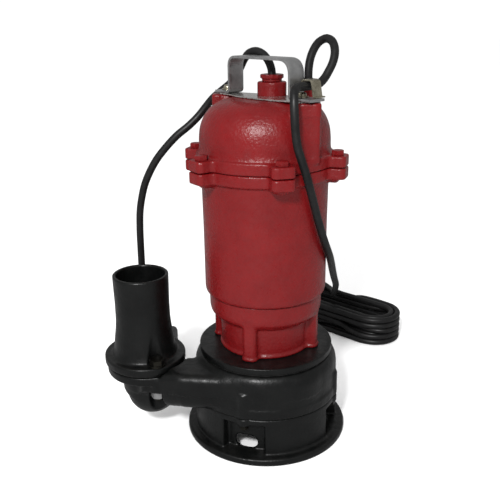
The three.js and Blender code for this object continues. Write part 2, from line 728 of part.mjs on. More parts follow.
add("gland_center_cap", glandCap(centreGland, centreGland.top + GAP), redPaint);
add("gland_center_sleeve", glandSleeve(centreGland, 387), rubber);
add("gland_rear_cap", glandCap(rearGland, rearGland.top + GAP), redPaint);
add("gland_rear_sleeve", glandSleeve(rearGland, 384), rubber);
add("top_plate", plate(), steel);
add("lifting_strap", liftingStrap(), steel);
strapScrews.forEach(([x, y], i) => add("strap_screw_" + (i + 1), strapScrew(x, y), steel));
add("cord_clip", cordClip(), brass);
add("discharge_tube", dischargeTube(), blackIron);
add("discharge_gasket", dischargeGasket(), rubber);
studPlaces.forEach((place, i) => add("discharge_bolt_" + (i + 1), dischargeBolt(place), brass));
studPlaces.forEach((place, i) => add("discharge_nut_" + (i + 1), dischargeNut(place), steel));
add("supply_lead", swept(supplyRoute, cord.d / 2, cord.sides, 60), rubber);
add("supply_coil", leadCoil(), rubber);
add("coil_tie", coilTie(), rubber);
add("supply_tail", swept(tailRoute, cord.d / 2, cord.sides, 5), rubber);
add("supply_plug", mainsPlug(), rubber);
add("float_lead", swept(floatRoute, cord.d / 2, cord.sides, 40), rubber);
add("float_switch", floatSwitch(), rubber);

export default group;
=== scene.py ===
# %% [markdown]
# # A submersible sewage pump
# The pump is three kinds of thing. Its castings are thick, with every corner rounded by the sand
# mould: they are drawn here as fields, a number at each point of space that is zero on the skin.
# Its turned and pressed parts are crisp: they are profiles carried round an axis or along a path.
# Its cords are one long curve each. Everything is worked out in millimetres from the shaft's axis
# and goes into the mesh in metres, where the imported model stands.

# %% Load the frame
import math

import bpy
import numpy as np
from mathutils import Matrix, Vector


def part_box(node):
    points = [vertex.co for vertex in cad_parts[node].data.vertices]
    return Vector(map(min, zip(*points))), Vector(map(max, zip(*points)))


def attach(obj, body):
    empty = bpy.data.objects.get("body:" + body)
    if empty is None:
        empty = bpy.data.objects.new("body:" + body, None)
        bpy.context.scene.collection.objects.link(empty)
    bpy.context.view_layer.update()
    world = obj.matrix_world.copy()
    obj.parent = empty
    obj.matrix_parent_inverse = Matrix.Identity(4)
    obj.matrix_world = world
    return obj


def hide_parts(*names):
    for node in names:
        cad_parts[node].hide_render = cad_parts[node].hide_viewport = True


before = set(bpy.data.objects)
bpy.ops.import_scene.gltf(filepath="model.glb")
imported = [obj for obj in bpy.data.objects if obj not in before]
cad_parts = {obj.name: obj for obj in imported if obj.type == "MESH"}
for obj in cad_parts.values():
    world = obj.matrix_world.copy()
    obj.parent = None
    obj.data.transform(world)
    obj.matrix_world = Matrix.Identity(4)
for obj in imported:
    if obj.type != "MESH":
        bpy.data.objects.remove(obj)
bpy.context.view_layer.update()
shaft_low, shaft_high = (np.array(corner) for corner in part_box("shaft"))
AXIS = (shaft_low + shaft_high) / 2  # the shaft's axis, in metres
AXIS[2] = 0.0
HOUSING = "housing"


def place(points):
    """Millimetres from the shaft's axis, to metres in the frame."""
    return np.asarray(points, float) / 1000 + AXIS


# %% [markdown]
# The camera comes first.
# A long lens looks down on the pump by about nineteen degrees.

# %% Camera
CAMERA_PLACE = (-2.79, -716.63, 459.0)
CAMERA_PITCH = 0.33
CAMERA_YAW = -0.0192
CAMERA_ROLL = -0.0118

camera = bpy.data.objects.new("camera", bpy.data.cameras.new("camera"))
bpy.context.scene.collection.objects.link(camera)
camera.data.lens = 50.05
camera.data.sensor_width = 36
camera.data.clip_start = 0.05
turn = Matrix.Rotation(-CAMERA_YAW, 4, "Z") @ Matrix.Rotation(math.pi / 2 - CAMERA_PITCH, 4, "X")
turn = turn @ Matrix.Rotation(CAMERA_ROLL, 4, "Z")
camera.matrix_world = Matrix.Translation(place(CAMERA_PLACE)) @ turn
bpy.context.scene.camera = camera
print("camera at", place(CAMERA_PLACE).round(3))

# %% [markdown]
# ## Cords
# A cord is a fixed length of rubber lead, so it is drawn as its centreline, and its thickness is
# added by the curve. The points of the free stretch are listed one by one. A cubic runs through them,
# which leaves each point along the line between its two neighbours, as a stiff lead does.

# %% A smooth line through points
CORD = 8.4  # the lead's thickness


def smooth_route(points, step=3.5):
    """Hermite cubics: p(t) = h00 a + h10 h A + h01 b + h11 h B, with slopes from the neighbours."""
    p = np.asarray(points, float)
    gaps = np.linalg.norm(np.diff(p, axis=0), axis=1)
    knots = np.concatenate([[0.0], np.cumsum(gaps)])
    slopes = np.gradient(p, knots, axis=0)
    along = np.linspace(0, knots[-1], int(knots[-1] / step) + 2)
    i = np.clip(np.searchsorted(knots, along, side="right") - 1, 0, len(gaps) - 1)
    t = ((along - knots[i]) / gaps[i])[:, None]
    h = gaps[i][:, None]
    return (
        (2 * t**3 - 3 * t**2 + 1) * p[i]
        + (t**3 - 2 * t**2 + t) * h * slopes[i]
        + (3 * t**2 - 2 * t**3) * p[i + 1]
        + (t**3 - t**2) * h * slopes[i + 1]
    )


def length_of(points):
    return float(np.linalg.norm(np.diff(points, axis=0), axis=1).sum())


# %% [markdown]
# The supply lead leaves the rear gland, loops over to the clip, hangs down past the barrel and runs
# back to the hank. The hank is a stadium: two straight runs and two round ends. Its ten turns lie
# in two columns and five levels. Each turn moves over to the next place just before the stretch
# where the turn before it moved, so no two turns ever meet.

# %% Supply lead
SUPPLY_ROUTE = [
    (45, 15, 393.6), (45.2, 15, 403), (46.4, 15.4, 412), (49.4, 15.4, 421), (54.4, 13.4, 429),
    (61.4, 8, 433.2), (67.2, -1, 430.4), (69, -8.6, 422.6), (67.2, -14.6, 413), (62.6, -19.6, 404),
    (57, -24.4, 396), (51, -30.2, 392), (44.4, -36.6, 391.6), (37.4, -43.4, 391.6),
    (31, -51, 391.6), (27.6, -59.6, 388.8), (27, -66, 380.4), (27.4, -68.8, 368), (28.4, -69, 353),
    (30.6, -69.4, 338), (34, -69.4, 327), (37.6, -67.8, 316), (41, -65, 305), (44, -60.6, 294),
    (48, -55.2, 279), (52.6, -49.4, 262), (60.2, -39, 237), (67.6, -20.6, 215), (72, 2, 199),
    (77, 30, 178.6), (82.6, 62, 157), (88, 95, 138), (92.4, 128, 120.6), (96, 165, 101),
    (99.6, 205, 80.4), (103, 242, 62.4), (105.4, 268, 52), (105, 290, 47), (99, 309, 46.2),
]
TAIL_ROUTE = [
    (33.1, 338.6, 4.3), (24.6, 328.8, 4.3), (16, 319, 5.6), (7.5, 309.1, 10.2), (-1, 299.3, 15.2),
    (-9.6, 289.5, 17.8),
]
HANK_CENTRE = np.array([114.0, 271.0])
HANK_ANGLE = math.radians(-41)
HANK_RUN = 125.0
COLUMNS = (25.1, 34.0)  # the radius of the inner and of the outer turns
LEVELS = 5
MOVE = 0.1  # the part of a turn in which the cord changes place
FIRST_SHARE = 0.1375  # where round the hank the lead comes on to it
LAST_SHARE = 0.25  # where the tail leaves it


def stadium(share, r):
    """A point at a share of the way round, from the middle of the far run towards its left end."""
    half = HANK_RUN / 2
    lap = 2 * HANK_RUN + 2 * math.pi * r
    s = (share % 1.0) * lap
    end = math.pi * r
    left = (s - half) / r
    right = (s - half - end - HANK_RUN) / r
    u = np.select(
        [s < half, s < half + end, s < half + end + HANK_RUN, s < half + 2 * end + HANK_RUN],
        [-s, -half - r * np.sin(left), s - 2 * half - end, half + r * np.sin(right)],
        lap - s,
    )
    v = np.select(
        [s < half, s < half + end, s < half + end + HANK_RUN, s < half + 2 * end + HANK_RUN],
        [r + 0 * s, r * np.cos(left), -r + 0 * s, -r * np.cos(right)],
        r,
    )
    return u, v


def hank_route(step=0.045):
    """Turn k lasts 1 - MOVE of a lap; in its first MOVE, radius and height slide into place."""
    turns = 2 * LEVELS
    k = np.arange(turns + 1)
    levels = CORD * np.where(k == 0, LEVELS + 0.5, LEVELS - 0.5 - (k - 1) // 2)
    columns = np.where(k == 0, COLUMNS[0], np.take(COLUMNS, (k // 2) % 2))
    clock = np.arange(0, (LAST_SHARE - FIRST_SHARE + turns - 1) / (1 - MOVE), step)
    k = np.minimum(clock.astype(int), turns - 1)
    slide = np.clip((clock - k) / MOVE, 0, 1)
    slide = slide * slide * (3 - 2 * slide)
    leave = np.clip((clock - clock[-1]) / 0.2 + 1, 0, 1)
    r = columns[k] + (columns[k + 1] - columns[k]) * slide + 8.7 * leave * leave * (3 - 2 * leave)
    z = levels[k] + (levels[k + 1] - levels[k]) * slide
    u, v = stadium(FIRST_SHARE + clock * (1 - MOVE), r)
    c, s = math.cos(HANK_ANGLE), math.sin(HANK_ANGLE)
    return np.column_stack([HANK_CENTRE[0] + u * c - v * s, HANK_CENTRE[1] + u * s + v * c, z])


supply_line = smooth_route([*SUPPLY_ROUTE, *hank_route(), *TAIL_ROUTE[1:]])
print("supply lead", round(length_of(supply_line) / 1000, 2), "m")

# %% [markdown]
# The float's lead comes up out of the middle gland behind the strap, turns down behind its left
# leg and then falls behind the outlet to a float that rests on the floor.

# %% Float lead
FLOAT_ROUTE = [
    (7.7, 13, 396.6), (7.4, 13.6, 402.6), (5.4, 16, 409), (1.2, 20.8, 415.6), (-4.6, 26.6, 419.8),
    (-11, 33, 420.4), (-16.8, 39.2, 417.4), (-21.4, 45.4, 411), (-25.8, 51.8, 402),
    (-31, 58.4, 392.6), (-38.6, 64.6, 384), (-47.4, 66.6, 377), (-56.2, 63, 370),
    (-64, 55.4, 361.4), (-72, 49.4, 352), (-82, 46, 342.6), (-95.4, 44, 332.2),
    (-108, 43.6, 319.6), (-120.4, 43.6, 304.4), (-128.4, 44.6, 291), (-135.4, 46.4, 275.6),
    (-139.4, 48, 262), (-142.8, 49.4, 245.4), (-144.4, 50, 225), (-145, 50.4, 200),
    (-145.4, 51, 172), (-146, 53, 142), (-147, 57, 115), (-148, 63, 92), (-149, 72, 71),
    (-150, 81, 51), (-150, 89.6, 34.6), (-150, 98.6, 24), (-150, 105.6, 20.4), (-150, 113, 19.4),
]
float_line = smooth_route(FLOAT_ROUTE)
print("float lead", round(length_of(float_line) / 1000, 2), "m")


def cord_piece(name, line, nodes):
    """A curve of one open spline along the line, as thick as the cord, with closed ends."""
    curve = bpy.data.curves.new(name, "CURVE")
    curve.dimensions = "3D"
    curve.bevel_depth = 1.0  # times each point's radius, which the curve's box also counts
    curve.bevel_resolution = 4
    curve.use_fill_caps = True
    spline = curve.splines.new("POLY")
    spline.points.add(len(line) - 1)
    spline.points.foreach_set("co", np.column_stack([place(line), np.ones(len(line))]).ravel())
    spline.points.foreach_set("radius", np.full(len(line), CORD / 2000))
    spline.use_smooth = True
    piece = bpy.data.objects.new(name, curve)
    bpy.context.scene.collection.objects.link(piece)
    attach(piece, HOUSING)
    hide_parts(*nodes)
    return piece


supply_cord = cord_piece("supply_cord", supply_line, ["supply_lead", "supply_coil", "supply_tail"])
float_cord = cord_piece("float_cord", float_line, ["float_lead"])

# %% [markdown]
# ## Ways to make a surface
# A turned part is a profile of radius and height. A real edge is never sharp, so each corner of the
# profile is first rounded by a short curve, and long sides get points in between, which keeps the
# shading flat where the part is flat.

# %% Profiles
def rounded(corners, radius, closed=True, steps=4):
    """At each corner p: (1-t)^2 a + 2t(1-t) p + t^2 b, with a and b one radius away on its sides."""
    p = np.asarray(corners, float)
    back = np.roll(p, 1, axis=0) - p
    ahead = np.roll(p, -1, axis=0) - p
    back_length = np.linalg.norm(back, axis=1, keepdims=True)
    ahead_length = np.linalg.norm(ahead, axis=1, keepdims=True)
    r = np.minimum(radius, 0.45 * np.minimum(back_length, ahead_length))
    if not closed:
        r[[0, -1]] = 0
    a = p + back / back_length * r
    b = p + ahead / ahead_length * r
    t = np.linspace(0, 1, steps)[:, None, None]
    curve = ((1 - t) ** 2 * a + 2 * t * (1 - t) * p + t**2 * b).transpose(1, 0, 2).reshape(-1, 2)
    keep = np.ones(len(curve), bool)
    keep[1:] = np.linalg.norm(np.diff(curve, axis=0), axis=1) > 1e-6
    return curve[keep]


def spaced(line, longest, closed=True):
    """The same line, with each side cut into equal pieces no longer than `longest`."""
    ends = np.roll(line, -1, axis=0) if closed else line[1:]
    starts = line if closed else line[:-1]
    parts = np.maximum(np.ceil(np.linalg.norm(ends - starts, axis=1) / longest).astype(int), 1)
    side = np.repeat(np.arange(len(starts)), parts)
    first = np.cumsum(parts) - parts
    share = ((np.arange(parts.sum()) - first[side]) / parts[side])[:, None]
    out = starts[side] + (ends - starts)[side] * share
    return out if closed else np.vstack([out, line[-1:]])


# %% [markdown]
# Every piece ends up as arrays of points and faces. This helper puts them into a mesh, shades it
# smoothly except at real edges, hangs it on the housing's body and hides the imported parts it replaces.

# %% From arrays to a piece
def make(name, shape, finish, nodes=(), edge=40):
    """A shape is points in millimetres, quads as rows of four numbers, and caps of any length."""
    points, quads, caps = shape
    points = place(points)
    mesh = bpy.data.meshes.new(name)
    sizes = np.concatenate([np.full(len(quads), 4), [len(cap) for cap in caps]]).astype(np.int32)
    loops = np.concatenate([np.ravel(quads), *caps]).astype(np.int32)
    mesh.vertices.add(len(points))
    mesh.vertices.foreach_set("co", points.ravel())
    mesh.loops.add(len(loops))
    mesh.loops.foreach_set("vertex_index", loops)
    mesh.polygons.add(len(sizes))
    mesh.polygons.foreach_set("loop_start", (np.cumsum(sizes) - sizes).astype(np.int32))
    mesh.polygons.foreach_set("use_smooth", np.ones(len(sizes), bool))
    mesh.update(calc_edges=True)
    mesh.validate()
    mesh.set_sharp_from_angle(angle=math.radians(edge))
    mesh.materials.append(finish)
    piece = bpy.data.objects.new(name, mesh)
    bpy.context.scene.collection.objects.link(piece)
    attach(piece, HOUSING)
    if nodes:
        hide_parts(*nodes)
    print(name, len(points), "points")
    return piece


def grid_quads(rows, columns, wrap_rows):
    """Quads of a grid whose columns close on themselves, and whose rows do too if asked."""
    down = np.arange(rows if wrap_rows else rows - 1)[:, None]
    across = np.arange(columns)[None, :]
    here = down * columns + across
    right = down * columns + (across + 1) % columns
    below = (down + 1) % rows * columns
    quads = np.stack([here, right, below + (across + 1) % columns, below + across], -1)
    return quads.reshape(-1, 4)


def turned(profile, centre=(0, 0), columns=96, hollow=True, outline=None):
    """x = cx + R sin a, y = cy - R cos a, with R the profile's radius, or outline(a, r, z)."""
    angle = np.arange(columns) * 2 * math.pi / columns
    r = np.repeat(profile[:, :1], columns, axis=1)
    z = np.repeat(profile[:, 1:], columns, axis=1)
    if outline is not None:
        r, z = outline(np.broadcast_to(angle, r.shape), r, z)
    points = np.stack([centre[0] + r * np.sin(angle), centre[1] - r * np.cos(angle), z], -1)
    quads = grid_quads(len(profile), columns, hollow)
    caps = []
    if not hollow:
        last = (len(profile) - 1) * columns
        caps = [np.arange(columns)[::-1], last + np.arange(columns)]
    return points.reshape(-1, 3), quads, caps


def polar(angle, r):
    return np.array([r * math.sin(angle), -r * math.cos(angle)])


def joined(*parts):
    """Several closed surfaces in one set of arrays."""
    points, quads, caps, first = [], [], [], 0
    for part_points, part_quads, part_caps in parts:
        points.append(part_points)
        quads.append(part_quads + first)
        caps += [np.asarray(cap) + first for cap in part_caps]
        first += len(part_points)
    return np.vstack(points), np.vstack(quads), caps


# %% [markdown]
# A casting is a field: the distance to its skin, negative inside. Fields of simple shapes are
# joined with a smooth minimum, which leaves a fillet where two shapes meet, exactly as the mould
# does. The skin is found in cells: each cell that it crosses gets one point, each crossed edge gives
# one quad, and the points then slide along the field's slope until they lie on the skin.

# %% Fields
def blend_min(a, b, k):
    """Smooth minimum: b + (a - b) h - k h (1 - h), with h going from 0 to 1 over a width of 2k."""
    h = np.clip(0.5 + 0.5 * (b - a) / k, 0, 1)
    return b + (a - b) * h - k * h * (1 - h)


def blend_max(a, b, k):
    return -blend_min(-a, -b, k)


def polygon_field(u, v, corners):
    """Least distance to any side of a polygon, with the sign changed for each side crossed."""
    corners = np.asarray(corners, float)
    least = np.full(np.broadcast(u, v).shape, 1e9)
    sign = np.ones_like(least)
    for (ax, ay), (bx, by) in zip(corners, np.roll(corners, 1, axis=0)):
        ex, ey = bx - ax, by - ay
        wx, wy = u - ax, v - ay
        t = np.clip((wx * ex + wy * ey) / (ex * ex + ey * ey), 0, 1)
        least = np.minimum(least, (wx - ex * t) ** 2 + (wy - ey * t) ** 2)
        above, below, left = v >= ay, v < by, ex * wy > ey * wx
        sign = np.where((above & below & left) | (~above & ~below & ~left), -sign, sign)
    return sign * np.sqrt(least)


def pillar_field(x, y, z, centre, r, low, top, k=1.5):
    """An upright cylinder with rounded ends."""
    across = np.hypot(x - centre[0], y - centre[1]) - r
    return blend_max(across, np.maximum(low - z, z - top), k)


def box_field(x, y, half_x, half_y, r):
    """A rectangle with rounded corners, in its own plane."""
    qx = np.abs(x) - half_x + r
    qy = np.abs(y) - half_y + r
    return np.hypot(np.maximum(qx, 0), np.maximum(qy, 0)) + np.minimum(np.maximum(qx, qy), 0) - r


def cast(field, low, high, step):
    """The skin of a field inside a box of cells, as a shape without caps."""
    axes = [np.arange(a, b + step, step) for a, b in zip(low, high)]
    value = field(*np.meshgrid(*axes, indexing="ij", sparse=True))
    shape = np.array(value.shape) - 1
    crossings, cells = [], []
    for axis in range(3):
        side = [slice(1, -1)] * 3
        side[axis] = slice(0, -1)
        lower = value[tuple(side)]
        side[axis] = slice(1, None)
        upper = value[tuple(side)]
        edge = np.argwhere((lower < 0) != (upper < 0))
        before, after = lower[tuple(edge.T)], upper[tuple(edge.T)]
        edge += np.arange(3) != axis
        where = edge.astype(float)
        where[:, axis] += before / (before - after)
        a, b = np.eye(3, dtype=int)[[(axis + 1) % 3, (axis + 2) % 3]]
        ring = [edge - a - b, edge - b, edge, edge - a]
        around = np.stack([np.ravel_multi_index(cell.T, shape) for cell in ring], axis=1)
        cells.append(np.where((before < 0)[:, None], around, around[:, ::-1]))
        crossings.append(where)
    cells = np.vstack(cells)
    crossings = np.repeat(np.vstack(crossings), 4, axis=0)
    _, quads = np.unique(cells, return_inverse=True)
    quads = quads.reshape(-1)
    count = np.bincount(quads)
    points = np.stack([np.bincount(quads, crossings[:, i]) / count for i in range(3)], axis=1)
    points = np.asarray(low) + points * step
    nudge = np.eye(3) * 0.05
    for _ in range(4):
        slope = [field(*(points + d).T) - field(*(points - d).T) for d in nudge]
        slope = np.stack(slope, axis=1) / 0.1
        steep = np.maximum((slope**2).sum(axis=1), 0.1)
        slide = field(*points.T) / steep
        points = points - slope * np.clip(slide, -0.6 * step, 0.6 * step)[:, None]
    return points, quads.reshape(-1, 4), ()


# %% [markdown]
# ## Finishes
# Each finish is a Principled shader whose colour, roughness and relief come from a few patterns in
# the piece's own coordinates, in metres: a scale of 400 is a pattern about 2.5 mm across.

# %% Building a finish
class Finish:
    """A material with short ways to add patterns to it."""

    def __init__(self, name, metallic=0.0, roughness=0.5):
        self.material = bpy.data.materials.new(name)
        self.material.use_nodes = True
        self.tree = self.material.node_tree
        self.shader = self.tree.nodes["Principled BSDF"]
        self.shader.inputs["Metallic"].default_value = metallic
        self.shader.inputs["Roughness"].default_value = roughness
        self.place = self.node("ShaderNodeTexCoord").outputs["Object"]
        self.height = None

    def node(self, kind, **settings):
        node = self.tree.nodes.new(kind)
        for key, value in settings.items():
            setattr(node, key, value)
        return node

    def link(self, source, target):
        self.tree.links.new(source, target)

    def noise(self, scale, detail=3.0, roughness=0.5):
        node = self.node("ShaderNodeTexNoise")
        self.link(self.place, node.inputs["Vector"])
        node.inputs["Scale"].default_value = scale
        node.inputs["Detail"].default_value = detail
        node.inputs["Roughness"].default_value = roughness
        return node.outputs["Fac"]

    def cells(self, scale, feature="SMOOTH_F1"):
        node = self.node("ShaderNodeTexVoronoi", feature=feature)
        self.link(self.place, node.inputs["Vector"])
        node.inputs["Scale"].default_value = scale
        return node.outputs["Distance"]

    def ramp(self, value, *stops):
        """Colours or greys at positions from 0 to 1."""
        node = self.node("ShaderNodeValToRGB")
        self.link(value, node.inputs["Fac"])
        while len(node.color_ramp.elements) < len(stops):
            node.color_ramp.elements.new(0.5)
        for element, (position, colour) in zip(node.color_ramp.elements, stops):
            element.position = position
            grey = (colour,) * 3 if isinstance(colour, (int, float)) else tuple(colour)
            element.color = (*grey, 1)
        return node.outputs["Color"]

    def mix(self, share, first, second):
        node = self.node("ShaderNodeMix", data_type="RGBA")
        for source, target in ((share, 0), (first, 6), (second, 7)):
            if isinstance(source, bpy.types.NodeSocket):
                self.link(source, node.inputs[target])
            else:
                node.inputs[target].default_value = source if target == 0 else (*source, 1)
        return node.outputs[2]

    def shine(self, level):
        """How strongly the surface mirrors, where 0.5 is usual for paint."""
        self.shader.inputs["Specular IOR Level"].default_value = level

    def colour(self, source):
        self.link(source, self.shader.inputs["Base Color"])

    def gloss(self, source):
        self.link(source, self.shader.inputs["Roughness"])

    def bump(self, height, depth):
        """Adds relief, with its depth in metres."""
        node = self.node("ShaderNodeBump")
        node.inputs["Distance"].default_value = depth
        self.link(height, node.inputs["Height"])
        if self.height is not None:
            self.link(self.height, node.inputs["Normal"])
        self.height = node.outputs["Normal"]
        self.link(self.height, self.shader.inputs["Normal"])


def upward(finish, low, high):
    """How far a point faces up, as a grey from 0 to 1: dust lies there."""
    geometry = finish.node("ShaderNodeNewGeometry")
    split = finish.node("ShaderNodeSeparateXYZ")
    finish.link(geometry.outputs["Normal"], split.inputs["Vector"])
    return finish.ramp(split.outputs["Z"], (low, 0.0), (high, 1.0))


# %% [markdown]
# The motor's red enamel is sprayed thickly over rough iron, so it keeps the casting's dimples and
# has its own orange peel. That fine relief is what breaks a highlight into sparkles.

# %% Red enamel
def red_enamel():
    finish = Finish("red_enamel")
    patches = finish.noise(22, 4, 0.6)
    colour = finish.ramp(patches, (0.3, (0.104, 0.0028, 0.0036)), (0.7, (0.130, 0.004, 0.0048)))
    grime = finish.ramp(finish.noise(70, 6, 0.7), (0.25, 0.72), (0.55, 1.0))
    finish.colour(finish.mix(grime, (0.062, 0.0024, 0.003), colour))
    finish.gloss(finish.ramp(finish.noise(160, 3), (0.3, 0.26), (0.7, 0.4)))
    finish.bump(finish.cells(330), 0.00034)
    finish.bump(finish.noise(700, 2, 0.6), 0.0003)
    finish.bump(finish.noise(45, 3), 0.0007)
    finish.shine(0.27)
    return finish.material


# %% [markdown]
# The volute, foot and outlet are dipped in thin black paint. The iron's grain shows through it, the
# gloss is uneven, and a little pale dust lies on what faces up.

# %% Black paint
def black_paint():
    finish = Finish("black_paint")
    patches = finish.noise(35, 5, 0.6)
    tone = finish.ramp(patches, (0.3, (0.0015, 0.0017, 0.0017)), (0.7, (0.0032, 0.0035, 0.0034)))
    specks = finish.ramp(finish.noise(90, 5), (0.4, 0.0), (0.75, 0.5))
    dust = finish.mix(upward(finish, 0.55, 1.0), (0, 0, 0), specks)
    finish.colour(finish.mix(dust, tone, (0.009, 0.0084, 0.0076)))
    finish.gloss(finish.ramp(finish.noise(120, 4), (0.3, 0.28), (0.7, 0.44)))
    finish.shine(0.25)
    finish.bump(finish.noise(340, 3, 0.6), 0.00022)
    finish.bump(finish.noise(1100, 2), 0.00006)
    finish.bump(finish.noise(60, 3), 0.0007)
    return finish.material


# %% [markdown]
# Zinc-plated strip is not quite bright: it has cloudy patches and a dull bloom. The small screws
# and the clip have the yellow tinge of chromate, and the outlet's bolts were painted over.

# %% Plated steel
def plated_steel(name, bright, dull, roughness):
    finish = Finish(name, metallic=0.92)
    clouds = finish.noise(60, 5, 0.65)
    finish.colour(finish.ramp(clouds, (0.3, dull), (0.65, bright)))
    finish.gloss(finish.ramp(finish.noise(240, 4), (0.3, roughness - 0.08), (0.7, roughness + 0.1)))
    finish.bump(finish.noise(700, 3), 0.00004)
    finish.bump(finish.cells(180, "F1"), 0.00008)
    return finish.material


# %% [markdown]
# Rubber leads are satin and nearly black. Moulded plastic has a fine even grain.

# %% Rubber and plastic
def rubber():
    finish = Finish("rubber")
    patches = finish.noise(120, 4)
    finish.colour(finish.ramp(patches, (0.3, (0.0035, 0.0034, 0.0036)), (0.7, (0.007, 0.0068, 0.007))))
    finish.shine(0.28)
    finish.gloss(finish.ramp(finish.noise(300, 3), (0.3, 0.36), (0.7, 0.52)))
    finish.bump(finish.noise(900, 2), 0.00005)
    return finish.material


def moulded(name, dark, light, roughness):
    finish = Finish(name)
    finish.colour(finish.ramp(finish.noise(150, 4), (0.3, dark), (0.7, light)))
    finish.gloss(finish.ramp(finish.noise(400, 3), (0.3, roughness - 0.07), (0.7, roughness + 0.07)))
    finish.bump(finish.noise(1600, 2), 0.00004)
    return finish.material


RED = red_enamel()
BLACK = black_paint()
ZINC = plated_steel("zinc_plate", (0.42, 0.42, 0.42), (0.24, 0.24, 0.24), 0.36)
BRASSY = plated_steel("yellow_chromate", (0.52, 0.49, 0.38), (0.2, 0.18, 0.13), 0.28)
BRIGHT = plated_steel("ground_steel", (0.6, 0.58, 0.56), (0.42, 0.4, 0.38), 0.2)
SHEETS = plated_steel("laminations", (0.32, 0.33, 0.34), (0.2, 0.2, 0.21), 0.5)
PAINTED = plated_steel("painted_over_steel", (0.03, 0.028, 0.022), (0.006, 0.006, 0.006), 0.34)
COPPER = plated_steel("enamelled_copper", (0.62, 0.27, 0.11), (0.4, 0.15, 0.06), 0.38)
RUBBER = rubber()
PLASTIC = moulded("black_plastic", (0.014, 0.014, 0.015), (0.024, 0.024, 0.026), 0.42)
GREY = moulded("grey_plastic", (0.42, 0.41, 0.38), (0.52, 0.51, 0.48), 0.45)
CERAMIC = moulded("lapped_ceramic", (0.72, 0.70, 0.65), (0.82, 0.80, 0.75), 0.22)
supply_cord.data.materials.append(RUBBER)
float_cord.data.materials.append(RUBBER)
print(len(bpy.data.materials), "finishes")

# %% [markdown]
# The inner pieces keep their CAD shapes. They show only through the inlet and the outlet, and each
# gets its own finish.

# %% Inner pieces
INNER = {
    "wear_plate": ZINC, "casing_gasket": RUBBER, "impeller": BLACK, "impeller_nut": BRASSY,
    "seal_head": RUBBER, "seal_seat": CERAMIC, "bearing_lower": BRIGHT, "bearing_upper": BRIGHT,
    "bearing_shield": BLACK, "stator_core": SHEETS, "winding_lower": COPPER,
    "winding_upper": COPPER, "rotor_core": SHEETS, "shaft": BRIGHT, "barrel_gasket": RUBBER,
    "capacitor": GREY, "discharge_gasket": RUBBER,
}
for node, finish in INNER.items():
    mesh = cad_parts[node].data
    mesh.materials.clear()
    mesh.materials.append(finish)
print(len(INNER), "inner pieces finished")


# %% [markdown]
# ## Foot
# The foot is a bell with a wide flange, a roof with the inlet in it, four shallow recesses for the
# bolts and an oval window at the bottom of each recess. One quarter repeats four times, so its
# field folds the angle round the axis into one quarter and describes that quarter only.

# %% Foot
CAST_EDGE = 80  # a casting has no sharp edges
LUG_ANGLE = math.radians(-18)
LUG_RADIUS = 76.8
FOOT_PROFILE = rounded(
    [
        (62, 0), (91, 0), (91, 7.9), (81.8, 8.6), (80.9, 50), (30, 50), (30, 43), (67, 43), (67, 5),
        (62, 4),
    ],
    [[0.6], [2.4], [2.6], [2.2], [2.0], [1.5], [1.5], [5.0], [2.0], [0.6]],
)


def quarter(x, y):
    """Coordinates across and outwards in the quarter whose middle is the nearest lug."""
    angle = np.arctan2(x, -y) - LUG_ANGLE
    angle = angle - np.round(angle / (math.pi / 2)) * (math.pi / 2)
    r = np.hypot(x, y)
    return r * np.sin(angle), r * np.cos(angle)


def foot_field(x, y, z):
    across, out = quarter(x, y)
    r = np.hypot(x, y)
    body = polygon_field(r, z, FOOT_PROFILE)
    half = math.radians(17)
    side = np.abs(across) * math.cos(half) - out * math.sin(half)
    recess = blend_max(blend_max(71.6 - r, side, 2.5), np.maximum(8.7 - z, z - 43), 2.0)
    window = box_field(across, z - 16.4, 12.6, 8.2, 7.8)
    window = blend_max(window, 52 - out, 1.0)
    pillar = pillar_field(across, out, z, (0, LUG_RADIUS), 6.8, 41.5, 50, 1.2)
    body = blend_max(body, -recess, 1.6)
    body = blend_min(body, pillar, 2.0)
    return blend_max(body, -window, 1.4)


shape = cast(foot_field, (-94, -94, -3), (94, 94, 53), 1.4)
make("pump_foot", shape, BLACK, ["pump_stand"], CAST_EDGE)

# %% [markdown]
# ## Volute
# The casing carries the water from the middle out to the left. It is a round pan with the neck
# leaving its front wall, flat on top with a rounded shoulder. The neck turns down and then up in an
# elbow, under a flange that is wider at its two bolts.

# %% Volute
OUTLET = np.array([-137.0, -6.2])
STUD_ANGLE = math.radians(27)
STUD_RADIUS = 40.5
STUDS = [OUTLET + polar(a, STUD_RADIUS) for a in (STUD_ANGLE, STUD_ANGLE + math.pi)]
PAN_PROFILE = rounded(
    [
        (28, 50.3), (81.8, 50.3), (81.9, 60.6), (80.5, 63), (80.3, 84), (79.5, 90), (77.4, 94.8),
        (74.6, 97.7), (71, 98.6), (62.6, 98.6), (62, 56), (28, 56),
    ],
    [[1.0], [1.4], [2.0], [2.0], [4.0], [3.0], [3.0], [2.0], [2.0], [0.8], [1.0], [1.0]],
)
NECK_ROUTE = [(30, -48, 70.5), (-40, -45.5, 71), (-85, -39, 70), (-110, -27, 65), (-126, -15, 58)]


def lobes(x, y, mean, swing):
    """Distance outside r = mean + swing cos 2(a - a0), the outline of a flange wider at its bolts."""
    angle = np.arctan2(x - OUTLET[0], OUTLET[1] - y)
    return np.hypot(x - OUTLET[0], y - OUTLET[1]) - mean - swing * np.cos(2 * (angle - STUD_ANGLE))


